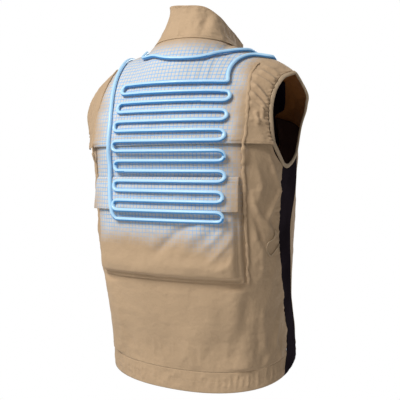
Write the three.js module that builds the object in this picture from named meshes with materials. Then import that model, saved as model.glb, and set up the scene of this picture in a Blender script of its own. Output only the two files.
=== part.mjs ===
// A sleeveless work vest in its worn form, with a stand collar, a flapped back pocket, mesh sides and a
// cooling tube that winds over the back. Millimetres. The wearer faces +Y, +X is the wearer's right, +Z up,
// and the origin lies between the two points where the shoulder seams meet the neck.
import * as THREE from "three";

// Body of the vest
const BODY_LENGTH = 618; // shoulder seam at the neck down to the hem at the side
const HEM_DIP = 27; // the back of the hem hangs this much lower than the sides, the front as much higher
const CHEST_HALF_WIDTH = 200;
const CHEST_HALF_DEPTH = 144;
const SECTION_POWER = 2.6; // 2 is an ellipse, more is squarer
const SHOULDER_TIP_X = 205;
const RIGHT_SHOULDER_DROP = 59; // neck to shoulder tip, as the vest hangs
const LEFT_SHOULDER_DROP = 50;
const SHOULDER_Y = -8;
const NECK_HALF_WIDTH = 82;
const NECK_BACK_REACH = 68;
const NECK_FRONT_REACH = 84;
const NECK_BACK_RISE = 8;
const NECK_CORNER_SPREAD = 36; // how widely the cloth rounds off below the corners of the neck
const NECK_CORNER_FADE = 0.08; // share of the height over which it does so
const SPREAD_WEIGHTS = [1, 2, 3, 2, 1];
const NECK_FRONT_DROP = 82;

// Cloth, seams and gaps
const CLOTH = 1.4;
const MESH_CLOTH = 1.2;
const SEAM_GAP = 0.4; // between panels that are sewn edge to edge
const LAYER_GAP = 0.4; // between a panel and what lies on it

// Yoke over the upper back
const YOKE_EDGE_Z = -197;
const YOKE_STAND_OFF = 2.6; // free edge above the back panel, at its centre
const YOKE_SIDE_STAND_OFF = 6; // and where it meets the armholes

// Welts down the back
const WELT_HALF_WIDTH = 2.4;
const WELT_HALF_HEIGHT = 2.6;
const WELT_CLEAR_X = 158; // the back's folds begin beyond this

// Back pocket and its flap
const POCKET_HALF_WIDTH = 147;
const POCKET_TOP_Z = -266;
const POCKET_BOTTOM_Z = -438;
const POCKET_DEPTH = 13;
const FLAP_TOP_Z = -253;
const FLAP_BOTTOM_Z = -311;
const FLAP_CLOTH = 2;
const LIFT_SIDEWAYS = 0.15; // pocket and flap stand off straight back, not out to the sides
const FLAP_STAND_OFF = POCKET_DEPTH + CLOTH + LAYER_GAP + 0.6;

// Hem band
const HEM_BAND = 36;
const HEM_GATHER_PITCH = 19;
const HEM_GATHER_DEPTH = 1.9;

// Armholes
const BINDING_HALF_WIDTH = 3.9;
const BINDING_HALF_HEIGHT = 2.1;

// Collar
const COLLAR_CLOTH = 2.4;
const COLLAR_HEIGHT = 76; // top of the collar at the back above the shoulder seams
const COLLAR_SEAM_RISE = 0.35;
const COLLAR_FLARE = 1.8; // how soon the collar turns up from the shoulder
const COLLAR_ROWS = [0, 0.17, 0.42, 0.72, 1];

// Front
const ZIP_HALF_WIDTH = 7;
const FRONT_OPEN_FROM = 0.8; // share of the height above which the front is open
const FRONT_OPEN_X = 44; // half of the opening at the neck seam

// Inside of the fronts
const LINING_GAP = 0.7;
const LINING_FOOT = 0.34; // shares of the height
const LINING_TOP = 0.945;
const INNER_POCKET_FOOT = 0.5;
const INNER_POCKET_TOP = 0.813;
const FRONT_COLUMNS = 10;
const LINING_COLUMN = 5; // the lining lies inside the columns from this one to the zip, one wider at the top
const LINING_STEP = 0.04; // share of the height in which it widens
const INNER_CLEAR = 0.06; // share of a column between the lining and the inner pocket

// Cooling tube
const TUBE_RADIUS = 3.7;
const TUBE_SIDES = 5;
const TUBE_GAP = 0.8;
const SHOULDER_CLEAR = 1.5; // more gap over the shoulders, where the cloth turns sharply
const NECK_CLEAR = 4.6; // and beside the neck, where it is hollow
const NECK_CLEAR_X = 95;
const TUBE_STEP = 13; // between stations away from the coil
const OVER_REACH = 56; // how far from the shoulder seam the shoulder counts as lying flat
const TUBE_SLOPE = 0.3; // steepest way up or down a step between layers
const COIL_RUNS = 15;
const COIL_TOP_Z = -84.5;
const COIL_BOTTOM_Z = -328.5;
const COIL_TILT = 5; // right ends of the runs below their left ends, at the top run
const COIL_RIGHT_X = 125.5;
const COIL_LEFT_X = -92;
const COIL_LEFT_FOOT_X = -88;

// Cord loop at the waist
const CORD_RADIUS = 1.2;

// Sections: share of the height, then half widths, depths and centre as shares of the chest's. The cloth over
// the left shoulder stands out more than over the right
const SECTIONS = [
  { height: 0.0, width: 0.923, leftWidth: 0.923, frontWidth: 0.923, back: 1.007, front: 0.847, centre: 0.299 },
  { height: 0.1, width: 0.914, leftWidth: 0.914, frontWidth: 0.914, back: 0.96, front: 0.95, centre: 0.231 },
  { height: 0.22, width: 0.907, leftWidth: 0.907, frontWidth: 0.907, back: 0.954, front: 0.992, centre: 0.099 },
  { height: 0.38, width: 0.95, leftWidth: 0.95, frontWidth: 0.95, back: 0.967, front: 0.996, centre: 0.0 },
  { height: 0.55, width: 0.985, leftWidth: 0.985, frontWidth: 0.985, back: 0.998, front: 0.99, centre: -0.036 },
  { height: 0.7, width: 1.009, leftWidth: 1.0, frontWidth: 1.009, back: 1.051, front: 0.982, centre: -0.058 },
  { height: 0.82, width: 1.07, leftWidth: 1.12, frontWidth: 1.049, back: 1.028, front: 0.972, centre: -0.042 },
  { height: 0.91, width: 1.07, leftWidth: 1.2, frontWidth: 1.126, back: 1.0, front: 0.938, centre: -0.042 },
  { height: 0.96, width: 1.07, leftWidth: 1.19, frontWidth: 1.15, back: 0.984, front: 0.898, centre: -0.042 },
  { height: 1.0, width: 1.07, leftWidth: 1.07, frontWidth: 1.07, back: 0.972, front: 0.861, centre: -0.042 },
];

// Shoulder line: way out from the neck to the tip, and the share of the shoulder's drop that is reached there
const SHOULDER_LINE = [
  { out: 0, right: 0, left: 0 },
  { out: 0.25, right: 0.24, left: 0.093 },
  { out: 0.5, right: 0.445, left: 0.277 },
  { out: 0.75, right: 0.645, left: 0.574 },
  { out: 1, right: 1, left: 1 },
  { out: 1.2, right: 1.4, left: 1.44 },
];

// Side seams: turn from the back centre in degrees, at shares of the height
const SIDE_SEAMS = [
  { height: 0.0, back: 75, front: 111 },
  { height: 0.06, back: 82, front: 111 },
  { height: 0.14, back: 87.5, front: 111 },
  { height: 0.24, back: 86.5, front: 109 },
  { height: 0.33, back: 79, front: 102 },
  { height: 0.42, back: 75, front: 96 },
  { height: 0.5, back: 72.5, front: 94 },
  { height: 0.57, back: 72.2, front: 101 },
  { height: 0.63, back: 73, front: 109 },
  { height: 0.684, back: 74.6, front: 106 },
  { height: 0.72, back: 74.6, front: 102.5 },
];
const SIDE_SEAM_TOP_BACK = 0.684;
const SIDE_SEAM_TOP_FRONT = 0.72;

// Armhole edge of the back and of the front: turn in degrees at shares of the height
const ARMHOLE_BACK = [
  { height: 0.684, turn: 74.6, leftTurn: 74.6 },
  { height: 0.714, turn: 65.6, leftTurn: 68.2 },
  { height: 0.753, turn: 59.6, leftTurn: 63.6 },
  { height: 0.796, turn: 55.6, leftTurn: 61 },
  { height: 0.845, turn: 53.3, leftTurn: 59.2 },
  { height: 0.89, turn: 53.4, leftTurn: 58.9 },
  { height: 0.935, turn: 55.2, leftTurn: 59.4 },
  { height: 0.973, turn: 59, leftTurn: 60.6 },
  { height: 1.0, turn: 66.3, leftTurn: 66.3 },
];
const ARMHOLE_FRONT = [
  { height: 0.72, turn: 102.5 },
  { height: 0.765, turn: 107.3 },
  { height: 0.81, turn: 110.6 },
  { height: 0.86, turn: 112.2 },
  { height: 0.9, turn: 113.7 },
  { height: 0.94, turn: 114.6 },
  { height: 0.975, turn: 114.3 },
  { height: 1.0, turn: 113.7 },
];
// Lowest stretch of the armhole, over the mesh side: share of the height at a turn in degrees
const ARMHOLE_FOOT = [
  { turn: 74.6, height: 0.684 },
  { turn: 80, height: 0.677 },
  { turn: 92.5, height: 0.692 },
  { turn: 102.5, height: 0.72 },
];

// Way of the welts: distance from the centre, as a share of the chest's half width, at shares of the height
const WELT_LINE = [
  { height: 0.322, across: 0.757 },
  { height: 0.45, across: 0.762 },
  { height: 0.63, across: 0.762 },
  { height: 0.72, across: 0.77 },
  { height: 0.79, across: 0.78 },
  { height: 0.87, across: 0.757 },
  { height: 0.925, across: 0.746 },
  { height: 0.95, across: 0.748 },
  { height: 0.972, across: 0.765 },
];

// Rows of the panels, as shares of the side seam above the hem band, of the yoke and of the front armhole
const SEAM_ROWS = [0, 0.12, 0.24, 0.35, 0.45, 0.54, 0.62, 0.69, 0.76, 0.84, 0.92, 1];
const YOKE_ROWS = [0, 0.1, 0.22, 0.35, 0.48, 0.61, 0.73, 0.84, 0.93, 1];
const FRONT_ROWS = [0, 0.16, 0.33, 0.5, 0.66, 0.8, 0.91, 1];

// Way of the tube beside the coil: across as a share of the chest's half width, then either down as a share
// of the body length, or over as a share of the chest's half depth behind (-) or before (+) the shoulder seam
const LEFT_ROUTE = [
  { across: -0.44, down: 0.5275 },
  { across: -0.465, down: 0.505 },
  { across: -0.49, down: 0.45 },
  { across: -0.51, down: 0.37 },
  { across: -0.505, down: 0.3 },
  { across: -0.525, down: 0.235 },
  { across: -0.562, down: 0.179 },
  { across: -0.59, down: 0.134 },
  { across: -0.616, down: 0.1 },
  { across: -0.64, over: -0.42 },
  { across: -0.665, over: -0.28 },
  { across: -0.69, over: -0.14 },
  { across: -0.703, over: 0.03 },
  { across: -0.7, over: 0.2 },
  { across: -0.675, over: 0.31 },
  { across: -0.63, over: 0.345 },
  { across: -0.592, over: 0.28 },
  { across: -0.578, over: 0.16 },
  { across: -0.555, over: 0.05 },
];
const NECK_ROUTE = [
  { across: -0.52, over: -0.05 },
  { across: -0.475, over: -0.14 },
  { across: -0.448, over: -0.27 },
  { across: -0.385, over: -0.43 },
  { across: -0.28, over: -0.575 },
  { across: -0.157, down: 0.047 },
  { across: -0.06, down: 0.0595 },
  { across: 0.05, down: 0.0648 },
  { across: 0.15, down: 0.0672 },
  { across: 0.24, down: 0.0662 },
  { across: 0.32, down: 0.062 },
  { across: 0.4, over: -0.455 },
  { across: 0.465, over: -0.33 },
  { across: 0.52, over: -0.235 },
  { across: 0.565, over: -0.16 },
  { across: 0.592, over: -0.08 },
];
const RIGHT_ROUTE = [
  { across: 0.605, over: 0.03 },
  { across: 0.625, over: 0.14 },
  { across: 0.665, over: 0.22 },
  { across: 0.72, over: 0.24 },
  { across: 0.775, over: 0.2 },
  { across: 0.815, over: 0.1 },
  { across: 0.83, over: -0.02 },
  { across: 0.805, over: -0.1 },
  { across: 0.75, over: -0.115 },
  { across: 0.69, over: -0.16 },
  { across: 0.64, over: -0.25 },
  { across: 0.6, over: -0.355 },
  { across: 0.575, down: 0.075 },
  { across: 0.56, down: 0.094 },
  { across: 0.556, down: 0.112 },
  { across: 0.568, down: 0.127 },
];

// Top edge of the collar, by the angle round the neck from the back centre towards the right: x and y as shares
// of the neck's half width, z of the collar's height. The left side stands up, the right side falls open
const COLLAR_TOP = [
  { around: -146, x: -0.86, y: 0.84, z: 0.42 },
  { around: -112, x: -0.8, y: 0.5, z: 0.86 },
  { around: -75, x: -0.71, y: 0.1, z: 1.11 },
  { around: -38, x: -0.49, y: -0.34, z: 1.11 },
  { around: 0, x: 0.0, y: -0.61, z: 1.0 },
  { around: 35, x: 0.5, y: -0.49, z: 0.92 },
  { around: 60, x: 0.72, y: -0.24, z: 0.73 },
  { around: 88, x: 0.81, y: 0.1, z: 0.52 },
  { around: 117, x: 0.86, y: 0.46, z: 0.36 },
  { around: 146, x: 0.87, y: 0.84, z: 0.22 },
];

// Way of the cord loop: turn in degrees and share of the height
const LOOP_ROUTE = [
  { turn: 67.8, height: 0.482 },
  { turn: 66.4, height: 0.457 },
  { turn: 61.2, height: 0.444 },
  { turn: 60.2, height: 0.424 },
  { turn: 63.9, height: 0.404 },
  { turn: 69.2, height: 0.42 },
  { turn: 73, height: 0.436 },
];

// Folds of the back: ends as shares of the chest's half width and of the body length, then width and height
const FOLD_WIDTH = 10;
const FOLD_HEIGHT = 6;
const FOLDS = [
  { x1: 0.76, z1: 0.44, x2: 0.82, z2: 0.505, width: 1.0, height: 0.8 },
  { x1: 0.82, z1: 0.505, x2: 0.93, z2: 0.572, width: 1.0, height: 1.1 },
  { x1: 0.975, z1: 0.43, x2: 0.89, z2: 0.54, width: 0.7, height: 0.8 },
  { x1: 0.91, z1: 0.62, x2: 0.8, z2: 0.72, width: 1.0, height: 0.5 },
];

const DEG = Math.PI / 180;
const lerp = (a, b, t) => a + (b - a) * t;
const clamp = (t, low, high) => Math.min(Math.max(t, low), high);
const smooth = (t) => {
  const u = clamp(t, 0, 1);
  return u * u * (3 - 2 * u);
};

// Smooth curve through a table's rows: the value of one column at a value of the key column
function along(table, key, column, at) {
  const last = table.length - 1;
  const q = clamp(at, table[0][key], table[last][key]);
  let i = 0;
  while (i < last - 1 && q > table[i + 1][key]) i++;
  const slope = (k) => (table[k + 1][column] - table[k][column]) / (table[k + 1][key] - table[k][key]);
  const span = (k) => table[k + 1][key] - table[k][key];
  const tangent = (k) => {
    if (k === 0) return slope(0);
    if (k === last) return slope(last - 1);
    return (slope(k - 1) * span(k) + slope(k) * span(k - 1)) / (span(k - 1) + span(k));
  };
  const h = span(i);
  const t = (q - table[i][key]) / h;
  const t2 = t * t;
  const t3 = t2 * t;
  return (
    (2 * t3 - 3 * t2 + 1) * table[i][column] +
    (t3 - 2 * t2 + t) * h * tangent(i) +
    (-2 * t3 + 3 * t2) * table[i + 1][column] +
    (t3 - t2) * h * tangent(i + 1)
  );
}

// Height of the hem, of the shoulder and neck line, and the way the neck hole is rounded
const hemZ = (turn) => -BODY_LENGTH - HEM_DIP * Math.cos(turn);
const neckShare = (x) => Math.pow(Math.max(0, 1 - Math.pow(Math.abs(x) / NECK_HALF_WIDTH, 2.2)), 0.62);

function topZ(x, isFront) {
  const reach = Math.abs(x);
  if (reach < NECK_HALF_WIDTH) return (isFront ? -NECK_FRONT_DROP : NECK_BACK_RISE) * neckShare(x);
  const out = (reach - NECK_HALF_WIDTH) / (SHOULDER_TIP_X - NECK_HALF_WIDTH);
  return x > 0
    ? -RIGHT_SHOULDER_DROP * along(SHOULDER_LINE, "out", "right", out)
    : -LEFT_SHOULDER_DROP * along(SHOULDER_LINE, "out", "left", out);
}

function topY(x, isFront) {
  const inset = (isFront ? 0.5 : -0.5) * SEAM_GAP;
  return SHOULDER_Y + inset + (isFront ? NECK_FRONT_REACH : -NECK_BACK_REACH) * neckShare(x);
}

// Share of the section's depth that is left at a height, as the cloth closes over the shoulder
function closing(height, x, isFront) {
  const from = isFront ? 0.7 : 0.62;
  const q = clamp((height - from) / (1 - from), 0, 1);
  const roundness = lerp(0.8, 0.62, smooth((Math.abs(x) - 60) / 50));
  return Math.pow(Math.max(0, 1 - Math.pow(q, 2.6)), roundness);
}

function halfWidthAt(height, isFront, isLeft) {
  const backColumn = isLeft ? "leftWidth" : "width";
  return CHEST_HALF_WIDTH * along(SECTIONS, "height", isFront ? "frontWidth" : backColumn, height);
}

// Point of the vest's outer face. turn is in radians from the back centre towards the wearer's right
// How far forwards or back the shoulder seam and the neckline lie, softened below the corners of the neck
function softTopY(x, isFront, height) {
  const spread = NECK_CORNER_SPREAD * smooth((1 - height) / NECK_CORNER_FADE);
  const parts = SPREAD_WEIGHTS.map((weight, i) => weight * topY(x + (i / 2 - 1) * spread, isFront));
  return parts.reduce((sum, part) => sum + part, 0) / SPREAD_WEIGHTS.reduce((sum, weight) => sum + weight, 0);
}

function surface(turn, height) {
  const isFront = Math.cos(turn) < 0;
  const halfWidth = halfWidthAt(height, isFront, Math.sin(turn) < 0);
  const depth = CHEST_HALF_DEPTH * along(SECTIONS, "height", isFront ? "front" : "back", height);
  const centre = CHEST_HALF_DEPTH * along(SECTIONS, "height", "centre", height);
  const sine = Math.sin(turn);
  const cosine = Math.cos(turn);
  const reach = Math.pow(
    Math.pow(Math.abs(sine), SECTION_POWER) + Math.pow(Math.abs(cosine), SECTION_POWER),
    -1 / SECTION_POWER,
  );
  const x = halfWidth * reach * sine;
  const low = hemZ(turn);
  const z = low + (topZ(x, isFront) - low) * height;
  const y = lerp(softTopY(x, isFront, height), centre - depth * reach * cosine, closing(height, x, isFront));
  return new THREE.Vector3(x, y, z);
}

// Outward normal of that face
function facing(turn, height) {
  const step = 0.002;
  const side = surface(turn + step, height).sub(surface(turn - step, height));
  const rise = surface(turn, Math.min(height + step, 1)).sub(surface(turn, Math.max(height - step, 0)));
  const normal = side.cross(rise).normalize();
  const isShoulderSeam = height > 0.9995 && Math.abs(surface(turn, height).x) > NECK_HALF_WIDTH;
  return isShoulderSeam ? normal.setY(0).normalize() : normal;
}

// Turn and height of the point of the back, or of the front, at a given x and z
function locate(x, z, isFront = false) {
  let height = 0.5;
  let turn = 0;
  for (let i = 0; i < 12; i++) {
    const share = Math.min(Math.abs(x) / halfWidthAt(height, isFront, x < 0), 0.995);
    const rest = Math.pow(1 - Math.pow(share, SECTION_POWER), 1 / SECTION_POWER);
    turn = Math.sign(x) * Math.atan2(share, rest);
    if (isFront) turn = Math.PI - turn;
    const low = hemZ(turn);
    height = clamp((z - low) / (topZ(x, isFront) - low), 0, 1);
  }
  return { turn, height };
}

// Height share at which a line of constant z meets a turn on the back
function heightAt(turn, z) {
  let height = 0.5;
  for (let i = 0; i < 12; i++) {
    const low = hemZ(turn);
    height = (z - low) / (topZ(surface(turn, height).x, false) - low);
  }
  return height;
}

// How far the folds lift the cloth at a point of the back
function folds(point) {
  let lift = 0;
  for (const fold of FOLDS) {
    const x1 = fold.x1 * CHEST_HALF_WIDTH;
    const z1 = -fold.z1 * BODY_LENGTH;
    const dx = fold.x2 * CHEST_HALF_WIDTH - x1;
    const dz = -fold.z2 * BODY_LENGTH - z1;
    const px = Math.abs(point.x) - x1;
    const pz = point.z - z1;
    const t = clamp((px * dx + pz * dz) / (dx * dx + dz * dz), 0, 1);
    const distance = Math.hypot(px - t * dx, pz - t * dz);
    lift += fold.height * FOLD_HEIGHT * Math.exp(-Math.pow(distance / (fold.width * FOLD_WIDTH), 2));
  }
  const beside = Math.max(Math.abs(point.x) - WELT_CLEAR_X, POCKET_BOTTOM_Z - 12 - point.z);
  return lift * smooth(beside / 12);
}

// Closed solid from a grid of outer and inner points, across then up
function sheetGeometry(outer, inner) {
  const across = outer.length;
  const up = outer[0].length;
  const positions = [];
  for (const layer of [outer, inner]) for (const column of layer) for (const p of column) positions.push(p.x, p.y, p.z);
  const at = (layer, i, j) => layer * across * up + i * up + j;
  const index = [];
  const quad = (a, b, c, d) => index.push(a, b, c, a, c, d);
  for (let i = 0; i < across - 1; i++) {
    for (let j = 0; j < up - 1; j++) {
      quad(at(0, i, j), at(0, i + 1, j), at(0, i + 1, j + 1), at(0, i, j + 1));
      quad(at(1, i, j), at(1, i, j + 1), at(1, i + 1, j + 1), at(1, i + 1, j));
    }
  }
  for (let i = 0; i < across - 1; i++) {
    quad(at(1, i, 0), at(1, i + 1, 0), at(0, i + 1, 0), at(0, i, 0));
    quad(at(0, i, up - 1), at(0, i + 1, up - 1), at(1, i + 1, up - 1), at(1, i, up - 1));
  }
  for (let j = 0; j < up - 1; j++) {
    quad(at(0, 0, j), at(0, 0, j + 1), at(1, 0, j + 1), at(1, 0, j));
    quad(at(1, across - 1, j), at(1, across - 1, j + 1), at(0, across - 1, j + 1), at(0, across - 1, j));
  }
  const geometry = new THREE.BufferGeometry();
  geometry.setAttribute("position", new THREE.Float32BufferAttribute(positions, 3));
  geometry.setIndex(index);
  geometry.computeVertexNormals();
  return geometry;
}

// Cloth between edges. place(f, r) gives the turn and height, lift(f, r, point) the height of the inner face.
// sideways is the share of the normal's x that the lift keeps: less than 1 lifts it straighter back
function clothGeometry(columns, rows, cloth, place, lift, sideways = 1) {
  const shares = (count) => (Array.isArray(count) ? count : Array.from({ length: count + 1 }, (_, i) => i / count));
  const outer = [];
  const inner = [];
  for (const f of shares(columns)) {
    const outerColumn = [];
    const innerColumn = [];
    for (const r of shares(rows)) {
      const { turn, height } = place(f, r);
      const point = surface(turn, height);
      const normal = facing(turn, height);
      const way = normal.clone().setX(normal.x * sideways).normalize();
      const stretch = 1 / way.dot(normal);
      const base = lift(f, r, point, turn, height);
      innerColumn.push(point.clone().addScaledVector(way, base * stretch));
      outerColumn.push(point.clone().addScaledVector(way, (base + cloth) * stretch));
    }
    outer.push(outerColumn);
    inner.push(innerColumn);
  }
  return sheetGeometry(outer, inner);
}

// Solid strand along stations of { point, normal }, with a flattened round section
function strandGeometry(stations, halfWidth, halfHeight, sides, isClosed) {
  const count = stations.length;
  const rings = stations.map((station, i) => {
    const before = stations[isClosed ? (i + count - 1) % count : Math.max(i - 1, 0)].point;
    const after = stations[isClosed ? (i + 1) % count : Math.min(i + 1, count - 1)].point;
    const tangent = after.clone().sub(before).normalize();
    const across = tangent.clone().cross(station.normal).normalize();
    const up = across.clone().cross(tangent).normalize();
    return Array.from({ length: sides }, (_, k) => {
      const angle = ((k + 0.5) * 2 * Math.PI) / sides;
      return station.point
        .clone()
        .addScaledVector(across, halfWidth * Math.cos(angle))
        .addScaledVector(up, halfHeight * Math.sin(angle));
    });
  });
  const positions = rings.flat().flatMap((p) => [p.x, p.y, p.z]);
  const index = [];
  const at = (i, k) => (i % count) * sides + (k % sides);
  for (let i = 0; i < (isClosed ? count : count - 1); i++) {
    for (let k = 0; k < sides; k++) {
      index.push(at(i, k), at(i + 1, k + 1), at(i, k + 1), at(i, k), at(i + 1, k), at(i + 1, k + 1));
    }
  }
  if (!isClosed) {
    for (let k = 1; k < sides - 1; k++) {
      index.push(at(0, 0), at(0, k), at(0, k + 1));
      index.push(at(count - 1, 0), at(count - 1, k + 1), at(count - 1, k));
    }
  }
  const geometry = new THREE.BufferGeometry();
  geometry.setAttribute("position", new THREE.Float32BufferAttribute(positions, 3));
  geometry.setIndex(index);
  geometry.computeVertexNormals();
  return geometry;
}

// Turn that moves a point by half a seam gap, so that neighbours stay clear of each other
function gapTurn(turn, height) {
  const step = 0.002;
  const speed = surface(turn + step, height).distanceTo(surface(turn - step, height)) / (2 * step);
  return (0.5 * SEAM_GAP) / speed;
}

// Edges of the panels on the wearer's right, as turns in radians
const seamBack = (height) => along(SIDE_SEAMS, "height", "back", height) * DEG;
const seamFront = (height) => along(SIDE_SEAMS, "height", "front", height) * DEG;
const armholeBack = (height, side) =>
  side * along(ARMHOLE_BACK, "height", side > 0 ? "turn" : "leftTurn", height) * DEG;
const armholeFront = (height) => along(ARMHOLE_FRONT, "height", "turn", height) * DEG;
const armholeFoot = (turn) => along(ARMHOLE_FOOT, "turn", "height", turn / DEG);
const backEdge = (height, side) =>
  height < SIDE_SEAM_TOP_BACK ? side * seamBack(height) : armholeBack(height, side);
const frontEdge = (height) => (height < SIDE_SEAM_TOP_FRONT ? seamFront(height) : armholeFront(height));
const bandShare = HEM_BAND / BODY_LENGTH;

// Turn on the back, or on the front, at a distance from the centre line
function turnAt(x, height, isFront = false) {
  const share = clamp(Math.abs(x) / halfWidthAt(height, isFront, x < 0), 0, 0.999);
  const rest = Math.pow(1 - Math.pow(share, SECTION_POWER), 1 / SECTION_POWER);
  const turn = Math.atan2(share, rest);
  return Math.sign(x) * (isFront ? Math.PI - turn : turn);
}

// Height share on the yoke's free edge, where it meets the armhole, and at the top of the back panel under it
const yokeEdge = (turn) => heightAt(turn, YOKE_EDGE_Z);
let yokeCorner = 0.73;
for (let i = 0; i < 8; i++) yokeCorner = yokeEdge(armholeBack(yokeCorner, 1));
const underlapTop = lerp(yokeCorner, 1, YOKE_ROWS[1]);

// Height of the yoke's inner face above the back panel's outer face
function yokeLift(turn, height) {
  const edge = yokeEdge(turn);
  const free = lerp(YOKE_STAND_OFF, YOKE_SIDE_STAND_OFF, smooth((Math.abs(turn) / DEG - 20) / 35));
  const rest = LAYER_GAP + 0.3;
  if (height < underlapTop + 0.006) return lerp(free, rest, smooth((height - edge) / (underlapTop - edge)));
  return lerp(rest, -CLOTH, smooth((height - underlapTop - 0.006) / 0.05));
}

// Height of the pocket's inner face, from how far a point lies inside its sewn edges
function pocketLift(x, z) {
  const side = clamp((POCKET_HALF_WIDTH - Math.abs(x)) / 14, 0, 1);
  const foot = clamp((z - POCKET_BOTTOM_Z) / 20, 0, 1);
  const sag = 0.75 + 0.25 * smooth((-340 - z) / 70);
  const round = (t) => Math.sqrt(1 - (1 - t) * (1 - t));
  return LAYER_GAP + POCKET_DEPTH * sag * round(side) * round(foot);
}

// Height of the flap's inner face
function flapLift(z) {
  const t = clamp((FLAP_TOP_Z - z) / (FLAP_TOP_Z - FLAP_BOTTOM_Z), 0, 1);
  return LAYER_GAP + (FLAP_STAND_OFF - LAYER_GAP) * Math.pow(t, 0.6);
}

// Outermost face over the back, which the welts and the tube lie on
function topOfLayers(turn, height, margin) {
  const point = surface(turn, height);
  if (Math.cos(turn) < 0) return 0;
  if (point.z > YOKE_EDGE_Z - margin) return Math.max(yokeLift(turn, Math.max(height, yokeEdge(turn))) + CLOTH, 0);
  const isOverPocket = Math.abs(point.x) < POCKET_HALF_WIDTH + 1;
  if (isOverPocket && point.z > FLAP_BOTTOM_Z - margin && point.z < FLAP_TOP_Z + margin) {
    return flapLift(point.z) + FLAP_CLOTH;
  }
  const isOnPocket = isOverPocket && point.z > POCKET_BOTTOM_Z && point.z < POCKET_TOP_Z;
  if (isOnPocket) return pocketLift(point.x, point.z) + CLOTH;
  return Math.max(folds(point), 0);
}

const group = new THREE.Group();
const material = (color, roughness, metalness = 0) => new THREE.MeshStandardMaterial({ color, roughness, metalness });
const khaki = material(0xb89c7c, 0.9);
const bindingCloth = material(0xa8937a, 0.9);
const blackMesh = material(0x1c191c, 0.85);
const innerMesh = material(0x3a2a20, 0.85);
const zipMaterial = material(0x8f7a5f, 0.6);
const tubeMaterial = material(0x6db4ee, 0.25);

function add(name, geometry, finish) {
  const mesh = new THREE.Mesh(geometry, finish);
  mesh.name = name;
  group.add(mesh);
}

// The same piece on the wearer's right and left: the left one mirrors its turns
function addPair(name, finish, build) {
  add(`${name}_right`, build(1), finish);
  add(`${name}_left`, build(-1), finish);
}

// Mirrors a place on the right to the left, and keeps the columns in order of turn
function mirrored(side, place) {
  return (f, r) => {
    const { turn, height } = place(side > 0 ? f : 1 - f, r);
    return { turn: side * turn, height };
  };
}

const evenly = (count) => Array.from({ length: count + 1 }, (_, i) => i / count);

function addBack() {
  const low = bandShare + (3 * SEAM_GAP) / BODY_LENGTH;
  const rows = SEAM_ROWS.map((r) => lerp(low, SIDE_SEAM_TOP_BACK, r)).concat([yokeCorner, underlapTop]);
  const welt = 0.66; // share of the turn where the middle's coarse columns end
  const columns = [
    ...evenly(8).map((f) => -lerp(1, welt, f)),
    ...evenly(14).map((f) => lerp(-welt, welt, f)).slice(1, -1),
    ...evenly(8).map((f) => lerp(welt, 1, f)),
  ];
  add(
    "back_panel",
    clothGeometry(
      columns,
      rows,
      CLOTH,
      (f, height) => {
        const edge = backEdge(height, f < 0 ? -1 : 1);
        return { turn: Math.abs(f) * (edge - Math.sign(edge) * gapTurn(edge, height)), height };
      },
      (f, r, point, turn, height) => {
        const belowYoke = 1 - smooth((height - yokeEdge(turn) + 0.05) / 0.04);
        return -CLOTH + folds(point) * belowYoke * smooth((height - low) / 0.06);
      },
    ),
    khaki,
  );
}

function addYoke() {
  add(
    "back_yoke",
    clothGeometry(
      26,
      YOKE_ROWS,
      CLOTH,
      (f, r) => {
        const corner = lerp(yokeCorner, 1, r);
        const edges = [-1, 1].map((side) => {
          const edge = armholeBack(corner, side);
          return edge - side * gapTurn(edge, corner);
        });
        const turn = lerp(edges[0], edges[1], f);
        return { turn, height: lerp(yokeEdge(turn), 1, r) };
      },
      (f, r, point, turn, height) => (r > 0.999 ? -CLOTH : yokeLift(turn, height)),
    ),
    khaki,
  );
}

function addWelts() {
  const foot = WELT_LINE[0].height;
  const top = WELT_LINE[WELT_LINE.length - 1].height;
  addPair("back_welt", khaki, (side) => {
    const spots = evenly(22).map((f) => {
      const height = lerp(foot, top, f);
      const across = side * CHEST_HALF_WIDTH * along(WELT_LINE, "height", "across", height);
      return { turn: turnAt(across, height), height };
    });
    return strandGeometry(laidOn(spots, WELT_HALF_HEIGHT), WELT_HALF_WIDTH, WELT_HALF_HEIGHT, 6, false);
  });
}

function addPocket() {
  const edgeShares = [0, 0.012, 0.03, 0.055];
  const columns = [
    ...edgeShares,
    ...evenly(10).map((f) => lerp(0.12, 0.88, f)),
    ...edgeShares.map((f) => 1 - f).reverse(),
  ];
  add(
    "pocket_bag",
    clothGeometry(
      columns,
      [0, 0.025, 0.06, 0.115, 0.2, 0.34, 0.48, 0.62, 0.76, 0.88, 1],
      CLOTH,
      (f, r) => locate(lerp(-POCKET_HALF_WIDTH, POCKET_HALF_WIDTH, f), lerp(POCKET_BOTTOM_Z, POCKET_TOP_Z, r)),
      (f, r, point) => Math.min(pocketLift(point.x, point.z), flapLift(point.z) - CLOTH - LAYER_GAP - 0.6),
      LIFT_SIDEWAYS,
    ),
    khaki,
  );
  add(
    "pocket_flap",
    clothGeometry(
      18,
      [0, 0.25, 0.5, 0.72, 0.88, 1],
      FLAP_CLOTH,
      (f, r) => locate(lerp(-POCKET_HALF_WIDTH, POCKET_HALF_WIDTH, f), lerp(FLAP_BOTTOM_Z, FLAP_TOP_Z, r)),
      (f, r, point) => flapLift(point.z),
      LIFT_SIDEWAYS,
    ),
    khaki,
  );
}

const MESH_COLUMNS = 5;

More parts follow.
